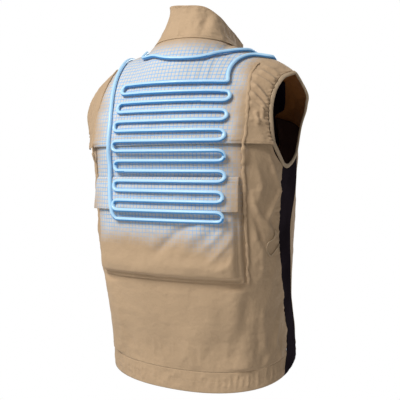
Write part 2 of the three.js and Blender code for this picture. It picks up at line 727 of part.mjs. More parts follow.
function addSides() {
  const rows = [0, ...SEAM_ROWS.map((r) => r + 1)];
  addPair("side_mesh", blackMesh, (side) =>
    clothGeometry(
      MESH_COLUMNS,
      rows,
      MESH_CLOTH,
      mirrored(side, (f, r) => {
        const rowHeight = (top) => (r < 1 ? r * bandShare : lerp(bandShare, top, r - 1));
        const backHeight = rowHeight(SIDE_SEAM_TOP_BACK);
        const frontHeight = rowHeight(SIDE_SEAM_TOP_FRONT);
        const from = seamBack(backHeight) + gapTurn(seamBack(backHeight), backHeight);
        const to = seamFront(frontHeight) - gapTurn(seamFront(frontHeight), frontHeight);
        const turn = lerp(from, to, f);
        const foot = armholeFoot(lerp(seamBack(SIDE_SEAM_TOP_BACK), seamFront(SIDE_SEAM_TOP_FRONT), f));
        const height = r < 1 ? r * bandShare : lerp(bandShare, foot, r - 1);
        return { turn, height };
      }),
      () => -MESH_CLOTH,
    ),
  );
}

// Turn of the front edge beside the zip, and where the front stands open above it
function openingTurn(height) {
  const open = smooth((height - FRONT_OPEN_FROM) / (1 - FRONT_OPEN_FROM));
  return turnAt(lerp(ZIP_HALF_WIDTH, FRONT_OPEN_X, open), height, true);
}

function addFront() {
  const low = bandShare + (3 * SEAM_GAP) / BODY_LENGTH;
  const rows = [
    ...SEAM_ROWS.map((r) => lerp(low, SIDE_SEAM_TOP_FRONT, r)),
    ...FRONT_ROWS.slice(1).map((r) => lerp(SIDE_SEAM_TOP_FRONT, 1, r)),
  ];
  const place = (f, height) => {
    const from = frontEdge(height) + gapTurn(frontEdge(height), height);
    const to = openingTurn(height) - gapTurn(openingTurn(height), height);
    return { turn: lerp(from, to, f), height };
  };
  addPair("front_panel", khaki, (side) =>
    clothGeometry(FRONT_COLUMNS, rows, CLOTH, mirrored(side, place), () => -CLOTH),
  );
  const inner = (name, finish, from, to, foot, top, columnAt) => {
    const columns = evenly(to - from);
    const inset = (f, height) => place(columnAt(Math.round(lerp(from, to, f)), height) / FRONT_COLUMNS, height);
    const heights = rows.filter((height) => height > foot && height < top);
    const depth = -CLOTH - LINING_GAP - MESH_CLOTH;
    addPair(name, finish, (side) => {
      return clothGeometry(columns, heights, MESH_CLOTH, mirrored(side, inset), () => depth);
    });
  };
  // Columns of the front panel that the lining and the inner pocket keep to, clear of each other and of the zip
  const upper = (height) => smooth((height - INNER_POCKET_TOP) / LINING_STEP);
  const liningColumn = (column, height) =>
    column < LINING_COLUMN
      ? lerp(LINING_COLUMN, column + INNER_CLEAR, upper(height))
      : clamp(column, LINING_COLUMN + INNER_CLEAR, FRONT_COLUMNS - 1 - INNER_CLEAR);
  const pocketColumn = (column) => clamp(column, INNER_CLEAR, LINING_COLUMN - INNER_CLEAR);
  inner("front_lining", blackMesh, LINING_COLUMN - 1, FRONT_COLUMNS - 1, LINING_FOOT, LINING_TOP, liningColumn);
  inner("inner_pocket", innerMesh, 0, LINING_COLUMN, INNER_POCKET_FOOT, INNER_POCKET_TOP, pocketColumn);
  add(
    "front_zip",
    clothGeometry(
      2,
      [0.002, ...rows.filter((height) => height < FRONT_OPEN_FROM)],
      CLOTH,
      (f, height) => {
        const edge = openingTurn(height) + gapTurn(openingTurn(height), height);
        return { turn: lerp(edge, 2 * Math.PI - edge, f), height };
      },
      () => -CLOTH,
    ),
    zipMaterial,
  );
}

// Ruffles of the hem band, deepest at its stitched upper edge
function gathers(turn, r) {
  const arc = turn * CHEST_HALF_WIDTH;
  const wave = Math.sin((2 * Math.PI * arc) / HEM_GATHER_PITCH) + 0.4 * Math.sin((4.6 * Math.PI * arc) / HEM_GATHER_PITCH);
  return HEM_GATHER_DEPTH * (0.35 + 0.65 * r) * (0.5 + 0.5 * wave);
}

function addHems() {
  const band = (columns, from, to) =>
    clothGeometry(
      columns,
      1,
      CLOTH,
      (f, r) => {
        const height = r * bandShare;
        return { turn: lerp(from(height), to(height), f), height };
      },
      (f, r, point, turn) => -CLOTH + gathers(turn, r),
    );
  const backEnd = (height) => seamBack(height) - gapTurn(seamBack(height), height);
  add("hem_back", band(60, (height) => -backEnd(height), backEnd), khaki);
  const frontStart = (height) => seamFront(height) + gapTurn(seamFront(height), height);
  const frontStop = (height) => openingTurn(height) - gapTurn(openingTurn(height), height);
  addPair("hem_front", khaki, (side) =>
    side > 0
      ? band(22, frontStart, frontStop)
      : band(22, (height) => -frontStop(height), (height) => -frontStart(height)),
  );
}

function addCollar() {
  const end = COLLAR_TOP[COLLAR_TOP.length - 1].around * DEG;
  const place = (f, r, out) => {
    const around = lerp(-end, end, f);
    const isFront = Math.cos(around) < 0;
    const x = NECK_HALF_WIDTH * Math.sin(around);
    const outward = new THREE.Vector3(Math.sin(around), -Math.cos(around), 0);
    const foot = new THREE.Vector3(x, topY(x, isFront), 0).addScaledVector(outward, out + 0.6);
    const heights = [x, foot.x, foot.x + Math.sign(x)].map((at) => topZ(at, isFront));
    foot.z = Math.max(...heights) + COLLAR_SEAM_RISE;
    const share = (column) => along(COLLAR_TOP, "around", column, around / DEG);
    const top = new THREE.Vector3(
      share("x") * NECK_HALF_WIDTH,
      share("y") * NECK_HALF_WIDTH,
      share("z") * COLLAR_HEIGHT,
    ).addScaledVector(outward, out);
    const inwards = 1 - Math.pow(1 - r, COLLAR_FLARE);
    return new THREE.Vector3(lerp(foot.x, top.x, inwards), lerp(foot.y, top.y, inwards), lerp(foot.z, top.z, r));
  };
  const layer = (out) => evenly(26).map((f) => COLLAR_ROWS.map((r) => place(f, r, out)));
  add("collar", sheetGeometry(layer(COLLAR_CLOTH), layer(0)), khaki);
}

function addBindings() {
  const backHeights = [SIDE_SEAM_TOP_BACK, ...YOKE_ROWS.map((r) => lerp(yokeCorner, 1, r))];
  const frontHeights = FRONT_ROWS.slice(0, -1).map((r) => lerp(SIDE_SEAM_TOP_FRONT, 1, r)).reverse();
  const footTurns = evenly(MESH_COLUMNS).slice(1, -1).map((f) =>
    lerp(seamFront(SIDE_SEAM_TOP_FRONT), seamBack(SIDE_SEAM_TOP_BACK), f),
  );
  addPair("armhole_binding", bindingCloth, (side) => {
    const loop = [
      ...backHeights.map((height) => ({ turn: armholeBack(height, side), height })),
      ...frontHeights.map((height) => ({ turn: side * armholeFront(height), height })),
      ...footTurns.map((turn) => ({ turn: side * turn, height: armholeFoot(turn) })),
    ];
    const spots = loop.map(({ turn, height }) => ({
      point: surface(turn, height),
      normal: facing(turn, height),
    }));
    const stations = spots.map(({ point, normal }, i) => {
      const before = spots[(i + spots.length - 1) % spots.length].point;
      const after = spots[(i + 1) % spots.length].point;
      const tangent = after.clone().sub(before).normalize();
      const inward = tangent.clone().cross(normal).multiplyScalar(side).normalize();
      return {
        point: point
          .clone()
          .addScaledVector(inward, BINDING_HALF_WIDTH + LAYER_GAP)
          .addScaledVector(normal, -0.5 * CLOTH),
        normal,
      };
    });
    return strandGeometry(stations, BINDING_HALF_WIDTH, BINDING_HALF_HEIGHT, 6, true);
  });
}

// Turn and height of a point of the shoulder at a distance before or behind its seam
function locateOver(x, y) {
  const isFront = y > 0;
  let low = isFront ? 0.7 : 0.62;
  let high = 1;
  for (let i = 0; i < 30; i++) {
    const middle = (low + high) / 2;
    const away = Math.abs(surface(turnAt(x, middle, isFront), middle).y - SHOULDER_Y);
    if (away > Math.abs(y)) low = middle;
    else high = middle;
  }
  return { turn: turnAt(x, high, isFront), height: high };
}

// Nearest place on the vest of a point close to it
function placeOf(point) {
  const over = point.y - SHOULDER_Y;
  return Math.abs(over) < OVER_REACH ? locateOver(point.x, over) : locate(point.x, point.z, over > 0);
}

// Turn and height along a route: its rows, and places between them on a smooth line
function places(route) {
  const rows = route.map(({ across, down, over }) =>
    over === undefined
      ? locate(across * CHEST_HALF_WIDTH, -down * BODY_LENGTH)
      : locateOver(across * CHEST_HALF_WIDTH, over * CHEST_HALF_DEPTH),
  );
  const curve = new THREE.CatmullRomCurve3(
    rows.map(({ turn, height }) => surface(turn, height)),
    false,
    "centripetal",
  );
  return evenly(Math.round(curve.getLength() / TUBE_STEP)).map((t) => placeOf(curve.getPointAt(t)));
}

// Stations of the coil: runs across the back with a half turn at each end, from the top down
function coilPlaces() {
  const spots = [];
  const down = (run) => run / (COIL_RUNS - 1);
  const pitch = (COIL_TOP_Z - COIL_BOTTOM_Z) / (COIL_RUNS - 1);
  const bend = pitch / 2;
  const right = COIL_RIGHT_X - bend;
  const left = (run) => lerp(COIL_LEFT_X, COIL_LEFT_FOOT_X, down(run)) + bend;
  const tilt = (run, x) => (COIL_TILT * (1 - down(run)) * (x - COIL_LEFT_X)) / (COIL_RIGHT_X - COIL_LEFT_X);
  const runZ = (run, x) => COIL_TOP_Z - run * pitch - tilt(run, x);
  for (let run = 0; run < COIL_RUNS; run++) {
    const isLeftward = run % 2 === 0;
    const from = isLeftward ? right : left(run);
    const to = isLeftward ? left(run) : right;
    for (const f of evenly(8)) {
      const x = lerp(from, to, f);
      spots.push(locate(x, runZ(run, x)));
    }
    if (run === COIL_RUNS - 1) break;
    const way = isLeftward ? -1 : 1;
    for (const angle of [36, 72, 108, 144]) {
      const z = lerp(runZ(run, to), runZ(run + 1, to), 0.5 - 0.5 * Math.cos(angle * DEG));
      spots.push(locate(to + way * bend * Math.sin(angle * DEG), z));
    }
  }
  return spots;
}

// Gap under a strand that the sharp turns of the cloth near the shoulders call for
function clearance(turn, height) {
  const beside = smooth((NECK_CLEAR_X + 10 - Math.abs(surface(turn, height).x)) / 20);
  return lerp(SHOULDER_CLEAR, NECK_CLEAR, beside) * smooth((height - 0.78) / 0.06);
}

// Stations of a strand that lies on the layers, and spans their steps at a limited slope
function laidOn(spots, halfHeight) {
  const raw = spots.map(({ turn, height }) => ({
    point: surface(turn, height),
    normal: facing(turn, height),
    lift: topOfLayers(turn, height, 12) + clearance(turn, height),
  }));
  return raw.map(({ point, normal }) => {
    let lift = 0;
    for (const other of raw) lift = Math.max(lift, other.lift - TUBE_SLOPE * point.distanceTo(other.point));
    const way = normal.clone().setX(normal.x * lerp(1, LIFT_SIDEWAYS, smooth((lift - 2) / 8))).normalize();
    return { point: point.clone().addScaledVector(way, (lift + TUBE_GAP + halfHeight) / way.dot(normal)), normal };
  });
}

// More stations between those of a strand, along a smooth line
function smoothed(stations, steps, isClosed) {
  const points = new THREE.CatmullRomCurve3(
    stations.map(({ point }) => point),
    isClosed,
    "centripetal",
  );
  const normals = new THREE.CatmullRomCurve3(
    stations.map(({ normal }) => normal),
    isClosed,
    "centripetal",
  );
  return steps.map((t) => ({ point: points.getPoint(t), normal: normals.getPoint(t).normalize() }));
}

function addTube() {
  const spots = [...coilPlaces(), ...places([...LEFT_ROUTE, ...NECK_ROUTE, ...RIGHT_ROUTE])];
  const stations = laidOn(spots, TUBE_RADIUS);
  add("cooling_tube", strandGeometry(stations, TUBE_RADIUS, TUBE_RADIUS, TUBE_SIDES, true), tubeMaterial);
}

function addLoop() {
  const spots = LOOP_ROUTE.map(({ turn, height }) => ({ turn: turn * DEG, height }));
  const stations = smoothed(laidOn(spots, CORD_RADIUS), evenly(18), false);
  add("waist_loop", strandGeometry(stations, CORD_RADIUS, CORD_RADIUS, 5, false), khaki);
}

addBack();
addYoke();
addWelts();
addPocket();
addSides();
addFront();
addHems();
addCollar();
addBindings();
addTube();
addLoop();

export default group;
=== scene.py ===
"""Looks of the cooling vest: fine cloth, tube, stitching, materials, light and camera. Lengths are worked out
in millimetres, as in the part's source, and turned into metres when a mesh is made."""

import math

import bpy
import numpy as np
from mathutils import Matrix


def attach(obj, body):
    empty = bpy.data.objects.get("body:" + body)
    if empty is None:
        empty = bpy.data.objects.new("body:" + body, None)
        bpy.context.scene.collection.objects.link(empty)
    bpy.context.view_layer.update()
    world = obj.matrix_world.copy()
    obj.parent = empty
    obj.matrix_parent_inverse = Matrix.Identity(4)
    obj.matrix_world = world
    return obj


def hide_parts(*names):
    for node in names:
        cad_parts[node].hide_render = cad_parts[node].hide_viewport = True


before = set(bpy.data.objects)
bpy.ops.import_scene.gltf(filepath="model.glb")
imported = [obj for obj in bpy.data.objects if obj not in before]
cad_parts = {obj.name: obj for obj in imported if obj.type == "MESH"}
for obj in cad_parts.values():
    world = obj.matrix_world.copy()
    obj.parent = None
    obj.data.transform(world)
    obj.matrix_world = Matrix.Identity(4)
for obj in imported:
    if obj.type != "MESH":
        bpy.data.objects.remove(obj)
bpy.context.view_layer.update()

DEG = math.pi / 180
MM = 0.001

# Body of the vest. Values shared with the part's source are the same, but INNER_POCKET_TOP is 0.813 there
BODY_LENGTH = 618.0
HEM_DIP = 27.0
CHEST_HALF_WIDTH = 200.0
CHEST_HALF_DEPTH = 144.0
SECTION_POWER = 2.6
SHOULDER_TIP_X = 205.0
RIGHT_SHOULDER_DROP = 59.0
LEFT_SHOULDER_DROP = 50.0
SHOULDER_Y = -8.0
NECK_HALF_WIDTH = 82.0
NECK_BACK_REACH = 68.0
NECK_FRONT_REACH = 84.0
NECK_BACK_RISE = 8.0
NECK_FRONT_DROP = 82.0
NECK_CORNER_SPREAD = 36.0
NECK_CORNER_FADE = 0.08
CLOTH = 1.4
MESH_CLOTH = 1.2
SEAM_GAP = 0.4
LAYER_GAP = 0.4
YOKE_EDGE_Z = -197.0
YOKE_STAND_OFF = 2.6
YOKE_SIDE_STAND_OFF = 6.0
POCKET_HALF_WIDTH = 147.0
POCKET_TOP_Z = -266.0
POCKET_BOTTOM_Z = -438.0
POCKET_DEPTH = 13.0
FLAP_TOP_Z = -253.0
FLAP_BOTTOM_Z = -311.0
FLAP_CLOTH = 2.0
LIFT_SIDEWAYS = 0.15
FLAP_STAND_OFF = POCKET_DEPTH + CLOTH + LAYER_GAP + 0.6
HEM_BAND = 36.0
BINDING_HALF_WIDTH = 3.9
BINDING_HALF_HEIGHT = 2.1
COLLAR_CLOTH = 2.4
COLLAR_HEIGHT = 76.0
COLLAR_SEAM_RISE = 0.35
COLLAR_FLARE = 1.8
ZIP_HALF_WIDTH = 7.0
FRONT_OPEN_FROM = 0.8
FRONT_OPEN_X = 44.0
LINING_GAP = 0.7
INNER_POCKET_TOP = 0.812
LINING_STEP = 0.04
TUBE_RADIUS = 3.7
TUBE_SLOPE = 0.3
NECK_CLEAR_X = 95.0
NECK_POWER = 2.2
NECK_ROUNDNESS = 0.62
CLOSING_FRONT = 0.7
CLOSING_BACK = 0.62
CLOSING_POWER = 2.6
POCKET_SIDE_ROUND = 14.0
POCKET_FOOT_ROUND = 20.0
COIL_RUNS = 15
COIL_TOP_Z = -84.5
COIL_BOTTOM_Z = -328.5
COIL_TILT = 5.0
COIL_RIGHT_X = 125.5
COIL_LEFT_X = -92.0
COIL_LEFT_FOOT_X = -88.0
OVER_REACH = 56.0
RUN_STEPS = 33
BEND_STEPS = 10
CORD_RADIUS = 1.2
BAND_SHARE = HEM_BAND / BODY_LENGTH
YOKE_REST = LAYER_GAP + 0.3
TURN_STEP = 0.002

# The tube as it is drawn, thinner and closer to the cloth than the solid in the part's source
TUBE_LOOK = 3.45
TUBE_GAP = 0.3
SHOULDER_CLEAR = 0.7
NECK_CLEAR = 1.4
TUBE_STEP = 3.0
TUBE_SIDES = 24
EASING_ROUNDS = 24

# Detail of the cloth
NOISE_CELLS = 48
DEGREE_LENGTH = 3.3
BINDING_STEP = 2.0
BINDING_SIDES = 16
BINDING_POWER = 0.75
THREAD_SIDES = 6
TOOTH_PITCH = 2.6
TOOTH_SIZE = (1.5, 0.55, 0.8)
SIDES = ((1, "right"), (-1, "left"))

# height, width, left width, front width, back depth, front depth, centre
SECTIONS = np.array([
    [0.0, 0.923, 0.923, 0.923, 1.007, 0.847, 0.299], [0.1, 0.914, 0.914, 0.914, 0.96, 0.95, 0.231],
    [0.22, 0.907, 0.907, 0.907, 0.954, 0.992, 0.099], [0.38, 0.95, 0.95, 0.95, 0.967, 0.996, 0.0],
    [0.55, 0.985, 0.985, 0.985, 0.998, 0.99, -0.036], [0.7, 1.009, 1.0, 1.009, 1.051, 0.982, -0.058],
    [0.82, 1.07, 1.12, 1.049, 1.028, 0.972, -0.042], [0.91, 1.07, 1.2, 1.126, 1.0, 0.938, -0.042],
    [0.96, 1.07, 1.19, 1.15, 0.984, 0.898, -0.042], [1.0, 1.07, 1.07, 1.07, 0.972, 0.861, -0.042],
])
# way out along the shoulder, share of the drop on the right, on the left
SHOULDER_LINE = np.array([
    [0.0, 0.0, 0.0], [0.25, 0.24, 0.093], [0.5, 0.445, 0.277], [0.75, 0.645, 0.574], [1.0, 1.0, 1.0],
    [1.2, 1.4, 1.44],
])
# height, turn of the back seam, turn of the front seam
SIDE_SEAMS = np.array([
    [0.0, 75, 111], [0.06, 82, 111], [0.14, 87.5, 111], [0.24, 86.5, 109], [0.33, 79, 102], [0.42, 75, 96],
    [0.5, 72.5, 94], [0.57, 72.2, 101], [0.63, 73, 109], [0.684, 74.6, 106], [0.72, 74.6, 102.5],
])
SEAM_TOP_BACK = 0.684
SEAM_TOP_FRONT = 0.72
# height, turn on the right, turn on the left
ARMHOLE_BACK = np.array([
    [0.684, 74.6, 74.6], [0.714, 65.6, 68.2], [0.753, 59.6, 63.6], [0.796, 55.6, 61.0], [0.845, 53.3, 59.2],
    [0.89, 53.4, 58.9], [0.935, 55.2, 59.4], [0.973, 59.0, 60.6], [1.0, 66.3, 66.3],
])
ARMHOLE_FRONT = np.array([
    [0.72, 102.5], [0.765, 107.3], [0.81, 110.6], [0.86, 112.2], [0.9, 113.7], [0.94, 114.6],
    [0.975, 114.3], [1.0, 113.7],
])
# turn, height
ARMHOLE_FOOT = np.array([[74.6, 0.684], [80.0, 0.677], [92.5, 0.692], [102.5, 0.72]])
# height, distance from the centre
WELT_LINE = np.array([
    [0.322, 0.757], [0.45, 0.762], [0.63, 0.762], [0.72, 0.77], [0.79, 0.78], [0.87, 0.757], [0.925, 0.746],
    [0.95, 0.748], [0.972, 0.765],
])
YOKE_ROW = 0.1
# Way of the tube beside the coil: share across, then the share down the back or over the shoulder seam
ROUTE = [
    (-0.44, "down", 0.5275), (-0.465, "down", 0.505), (-0.49, "down", 0.45), (-0.51, "down", 0.37),
    (-0.505, "down", 0.3), (-0.525, "down", 0.235), (-0.562, "down", 0.179), (-0.59, "down", 0.134),
    (-0.616, "down", 0.1), (-0.64, "over", -0.42), (-0.665, "over", -0.28), (-0.69, "over", -0.14),
    (-0.703, "over", 0.03), (-0.7, "over", 0.2), (-0.675, "over", 0.31), (-0.63, "over", 0.345),
    (-0.592, "over", 0.28), (-0.578, "over", 0.16), (-0.555, "over", 0.05), (-0.52, "over", -0.05),
    (-0.475, "over", -0.14), (-0.448, "over", -0.27), (-0.385, "over", -0.43), (-0.28, "over", -0.575),
    (-0.157, "down", 0.047), (-0.06, "down", 0.0595), (0.05, "down", 0.0648), (0.15, "down", 0.0672),
    (0.24, "down", 0.0662), (0.32, "down", 0.062), (0.4, "over", -0.455), (0.465, "over", -0.33),
    (0.52, "over", -0.235), (0.565, "over", -0.16), (0.592, "over", -0.08), (0.605, "over", 0.03),
    (0.625, "over", 0.14), (0.665, "over", 0.22), (0.72, "over", 0.24), (0.775, "over", 0.2),
    (0.815, "over", 0.1), (0.83, "over", -0.02), (0.805, "over", -0.1), (0.75, "over", -0.115),
    (0.69, "over", -0.16), (0.64, "over", -0.25), (0.6, "over", -0.355), (0.575, "down", 0.075),
    (0.56, "down", 0.094), (0.556, "down", 0.112), (0.568, "down", 0.127),
]
# around the neck, x, y, z of the collar's top edge
COLLAR_TOP = np.array([
    [-146, -0.86, 0.84, 0.42], [-112, -0.8, 0.5, 0.86], [-75, -0.71, 0.1, 1.11], [-38, -0.49, -0.34, 1.11],
    [0, 0.0, -0.61, 1.0], [35, 0.5, -0.49, 0.92], [60, 0.72, -0.24, 0.73], [88, 0.81, 0.1, 0.52],
    [117, 0.86, 0.46, 0.36], [146, 0.87, 0.84, 0.22],
])
# turn, height
LOOP_ROUTE = [
    (67.8, 0.482), (66.4, 0.457), (61.2, 0.444), (60.2, 0.424), (63.9, 0.404), (69.2, 0.42), (73.0, 0.436),
]


def smooth(t):
    u = np.clip(t, 0, 1)
    return u * u * (3 - 2 * u)


def lerp(a, b, t):
    return a + (b - a) * t


def along(table, column, at):
    """Smooth curve through a table's rows, the same one as in the part's source."""
    key = table[:, 0]
    value = table[:, column]
    span = np.diff(key)
    slope = np.diff(value) / span
    tangent = np.empty(len(key))
    tangent[0] = slope[0]
    tangent[-1] = slope[-1]
    tangent[1:-1] = (slope[:-1] * span[1:] + slope[1:] * span[:-1]) / (span[:-1] + span[1:])
    q = np.clip(at, key[0], key[-1])
    i = np.clip(np.searchsorted(key, q, side="left") - 1, 0, len(key) - 2)
    h = span[i]
    t = (q - key[i]) / h
    return (
        (2 * t**3 - 3 * t**2 + 1) * value[i]
        + (t**3 - 2 * t**2 + t) * h * tangent[i]
        + (-2 * t**3 + 3 * t**2) * value[i + 1]
        + (t**3 - t**2) * h * tangent[i + 1]
    )


def hem_z(turn):
    return -BODY_LENGTH - HEM_DIP * np.cos(turn)


def neck_share(x):
    return np.maximum(0, 1 - (np.abs(x) / NECK_HALF_WIDTH) ** NECK_POWER) ** NECK_ROUNDNESS


def top_z(x, is_front):
    reach = np.abs(x)
    out = (reach - NECK_HALF_WIDTH) / (SHOULDER_TIP_X - NECK_HALF_WIDTH)
    right = RIGHT_SHOULDER_DROP * along(SHOULDER_LINE, 1, out)
    left = LEFT_SHOULDER_DROP * along(SHOULDER_LINE, 2, out)
    shoulder = -np.where(x > 0, right, left)
    neck = np.where(is_front, -NECK_FRONT_DROP, NECK_BACK_RISE) * neck_share(x)
    return np.where(reach < NECK_HALF_WIDTH, neck, shoulder)


def top_y(x, is_front):
    inset = np.where(is_front, 0.5, -0.5) * SEAM_GAP
    return SHOULDER_Y + inset + np.where(is_front, NECK_FRONT_REACH, -NECK_BACK_REACH) * neck_share(x)


def closing(height, x, is_front):
    start = np.where(is_front, CLOSING_FRONT, CLOSING_BACK)
    q = np.clip((height - start) / (1 - start), 0, 1)
    roundness = lerp(0.8, 0.62, smooth((np.abs(x) - 60) / 50))
    return np.maximum(0, 1 - q**CLOSING_POWER) ** roundness


def half_width(height, is_front, is_left):
    right = along(SECTIONS, 1, height)
    left = along(SECTIONS, 2, height)
    front = along(SECTIONS, 3, height)
    return CHEST_HALF_WIDTH * np.where(is_front, front, np.where(is_left, left, right))


def soft_top_y(x, is_front, height):
    """Shoulder seam and neckline, softened below the corners of the neck."""
    spread = NECK_CORNER_SPREAD * smooth((1 - height) / NECK_CORNER_FADE)
    total = 0
    for step, weight in ((-1, 1), (-0.5, 2), (0, 3), (0.5, 2), (1, 1)):
        total = total + weight * top_y(x + step * spread, is_front)
    return total / 9


def surface(turn, height):
    turn = np.asarray(turn, float)
    height = np.asarray(height, float)
    is_front = np.cos(turn) < 0
    width = half_width(height, is_front, np.sin(turn) < 0)
    depth = CHEST_HALF_DEPTH * np.where(is_front, along(SECTIONS, 5, height), along(SECTIONS, 4, height))
    centre = CHEST_HALF_DEPTH * along(SECTIONS, 6, height)
    sine = np.sin(turn)
    cosine = np.cos(turn)
    reach = (np.abs(sine) ** SECTION_POWER + np.abs(cosine) ** SECTION_POWER) ** (-1 / SECTION_POWER)
    x = width * reach * sine
    low = hem_z(turn)
    z = low + (top_z(x, is_front) - low) * height
    y = lerp(soft_top_y(x, is_front, height), centre - depth * reach * cosine, closing(height, x, is_front))
    return np.stack([x, y, z], -1)


def unit(v):
    return v / np.maximum(np.linalg.norm(v, axis=-1, keepdims=True), 1e-9)


def facing(turn, height):
    side = surface(turn + TURN_STEP, height) - surface(turn - TURN_STEP, height)
    rise = surface(turn, np.minimum(height + TURN_STEP, 1)) - surface(turn, np.maximum(height - TURN_STEP, 0))
    normal = unit(np.cross(side, rise))
    at_seam = (height > 0.9995) & (np.abs(surface(turn, height)[..., 0]) > NECK_HALF_WIDTH)
    normal[..., 1] = np.where(at_seam, 0, normal[..., 1])
    return unit(normal)


def section_turn(x, height, is_front, limit):
    share = np.minimum(np.abs(x) / half_width(height, is_front, x < 0), limit)
    return np.arctan2(share, (1 - share**SECTION_POWER) ** (1 / SECTION_POWER))


def turn_at(x, height, is_front=False):
    x = np.asarray(x, float)
    turn = section_turn(x, height, is_front, 0.999)
    return np.sign(x) * np.where(is_front, math.pi - turn, turn)


def locate(x, z, is_front=False):
    x = np.asarray(x, float)
    z = np.asarray(z, float)
    height = np.full(np.broadcast(x, z).shape, 0.5)
    for _ in range(12):
        turn = np.sign(x) * section_turn(x, height, is_front, 0.995)
        turn = np.where(is_front, math.pi - turn, turn)
        low = hem_z(turn)
        height = np.clip((z - low) / (top_z(x, is_front) - low), 0, 1)
    return turn, height


def height_at(turn, z):
    height = np.full(np.shape(turn), 0.5)
    for _ in range(12):
        low = hem_z(turn)
        height = (z - low) / (top_z(surface(turn, height)[..., 0], False) - low)
    return height


def seam_back(height):
    return along(SIDE_SEAMS, 1, height) * DEG


def seam_front(height):
    return along(SIDE_SEAMS, 2, height) * DEG


def armhole_back(height, side):
    return side * along(ARMHOLE_BACK, 1 if side > 0 else 2, height) * DEG


def armhole_front(height):
    return along(ARMHOLE_FRONT, 1, height) * DEG


def armhole_foot(turn):
    return along(ARMHOLE_FOOT, 1, np.asarray(turn) / DEG)


def back_edge(height, side):
    return np.where(height < SEAM_TOP_BACK, side * seam_back(height), armhole_back(height, side))


def front_edge(height):
    return np.where(height < SEAM_TOP_FRONT, seam_front(height), armhole_front(height))


def gap_turn(turn, height):
    side = surface(turn + TURN_STEP, height) - surface(turn - TURN_STEP, height)
    return 0.5 * SEAM_GAP * 2 * TURN_STEP / np.linalg.norm(side, axis=-1)


def inset(turn, height, way):
    """The turn, moved half a seam's gap to one side."""
    return turn + way * gap_turn(turn, height)


def opening_turn(height):
    share = smooth((height - FRONT_OPEN_FROM) / (1 - FRONT_OPEN_FROM))
    return turn_at(lerp(ZIP_HALF_WIDTH, FRONT_OPEN_X, share), height, True)


def yoke_edge(turn):
    return height_at(turn, YOKE_EDGE_Z)


YOKE_CORNER = 0.73
for _ in range(8):
    YOKE_CORNER = float(yoke_edge(np.array([armhole_back(YOKE_CORNER, 1)]))[0])
UNDERLAP_TOP = lerp(YOKE_CORNER, 1, YOKE_ROW)


def yoke_lift(turn, height):
    edge = yoke_edge(turn)
    free = lerp(YOKE_STAND_OFF, YOKE_SIDE_STAND_OFF, smooth((np.abs(turn) / DEG - 20) / 35))
    below = lerp(free, YOKE_REST, smooth((height - edge) / (UNDERLAP_TOP - edge)))
    above = lerp(YOKE_REST, -CLOTH, smooth((height - UNDERLAP_TOP - 0.006) / 0.05))
    return np.where(height < UNDERLAP_TOP + 0.006, below, above)


def pocket_lift(x, z):
    side = np.clip((POCKET_HALF_WIDTH - np.abs(x)) / POCKET_SIDE_ROUND, 0, 1)
    foot = np.clip((z - POCKET_BOTTOM_Z) / POCKET_FOOT_ROUND, 0, 1)
    sag = 0.75 + 0.25 * smooth((-340 - z) / 70)

    def bow(t):
        return np.sqrt(1 - (1 - t) ** 2)

    return LAYER_GAP + POCKET_DEPTH * sag * bow(side) * bow(foot)


def flap_lift(z):
    t = np.clip((FLAP_TOP_Z - z) / (FLAP_TOP_Z - FLAP_BOTTOM_Z), 0, 1)
    return LAYER_GAP + (FLAP_STAND_OFF - LAYER_GAP) * t**0.6


def top_of_layers(turn, height, margin):
    """Outermost face over the back, which the welts, the tube and the waist loop lie on."""
    point = surface(turn, height)
    x = point[..., 0]
    z = point[..., 2]
    lift = np.zeros(np.shape(x))
    over_pocket = np.abs(x) < POCKET_HALF_WIDTH + 1
    on_pocket = over_pocket & (z > POCKET_BOTTOM_Z) & (z < POCKET_TOP_Z)
    lift = np.where(on_pocket, pocket_lift(x, z) + CLOTH, lift)
    on_flap = over_pocket & (z > FLAP_BOTTOM_Z - margin) & (z < FLAP_TOP_Z + margin)
    lift = np.where(on_flap, flap_lift(z) + FLAP_CLOTH, lift)
    on_yoke = z > YOKE_EDGE_Z - margin
    yoke = np.maximum(yoke_lift(turn, np.maximum(height, yoke_edge(turn))) + CLOTH, 0)
    lift = np.where(on_yoke, yoke, lift)
    return np.where(np.cos(turn) < 0, 0, lift)


# Smooth seeded noise
LATTICE = np.random.default_rng(7).random((NOISE_CELLS, NOISE_CELLS, NOISE_CELLS)) * 2 - 1


def noise(point, scale, seed=0):
    """Soft noise between about -1 and 1, with features of the given size in millimetres."""
    q = np.asarray(point, float) / scale + 17.3 * (seed + 1) + 500
    base = np.floor(q).astype(int)
    f = q - base
    f = f * f * f * (f * (f * 6 - 15) + 10)
    total = 0
    for dx in (0, 1):
        for dy in (0, 1):
            for dz in (0, 1):
                cell = (base + [dx, dy, dz]) % NOISE_CELLS
                value = LATTICE[cell[..., 0], cell[..., 1], cell[..., 2]]
                wx = f[..., 0] if dx else 1 - f[..., 0]
                wy = f[..., 1] if dy else 1 - f[..., 1]
                wz = f[..., 2] if dz else 1 - f[..., 2]
                total = total + value * wx * wy * wz
    return total


def crumple(point, scale, seed=0):
    """Sharp little ridges between soft hollows, as in creased cotton; about -0.6 to 1."""
    first = 1 - 2 * np.abs(noise(point, scale, seed))
    second = 1 - 2 * np.abs(noise(point, scale * 0.55, seed + 3))
    return 0.65 * first + 0.35 * second - 0.35


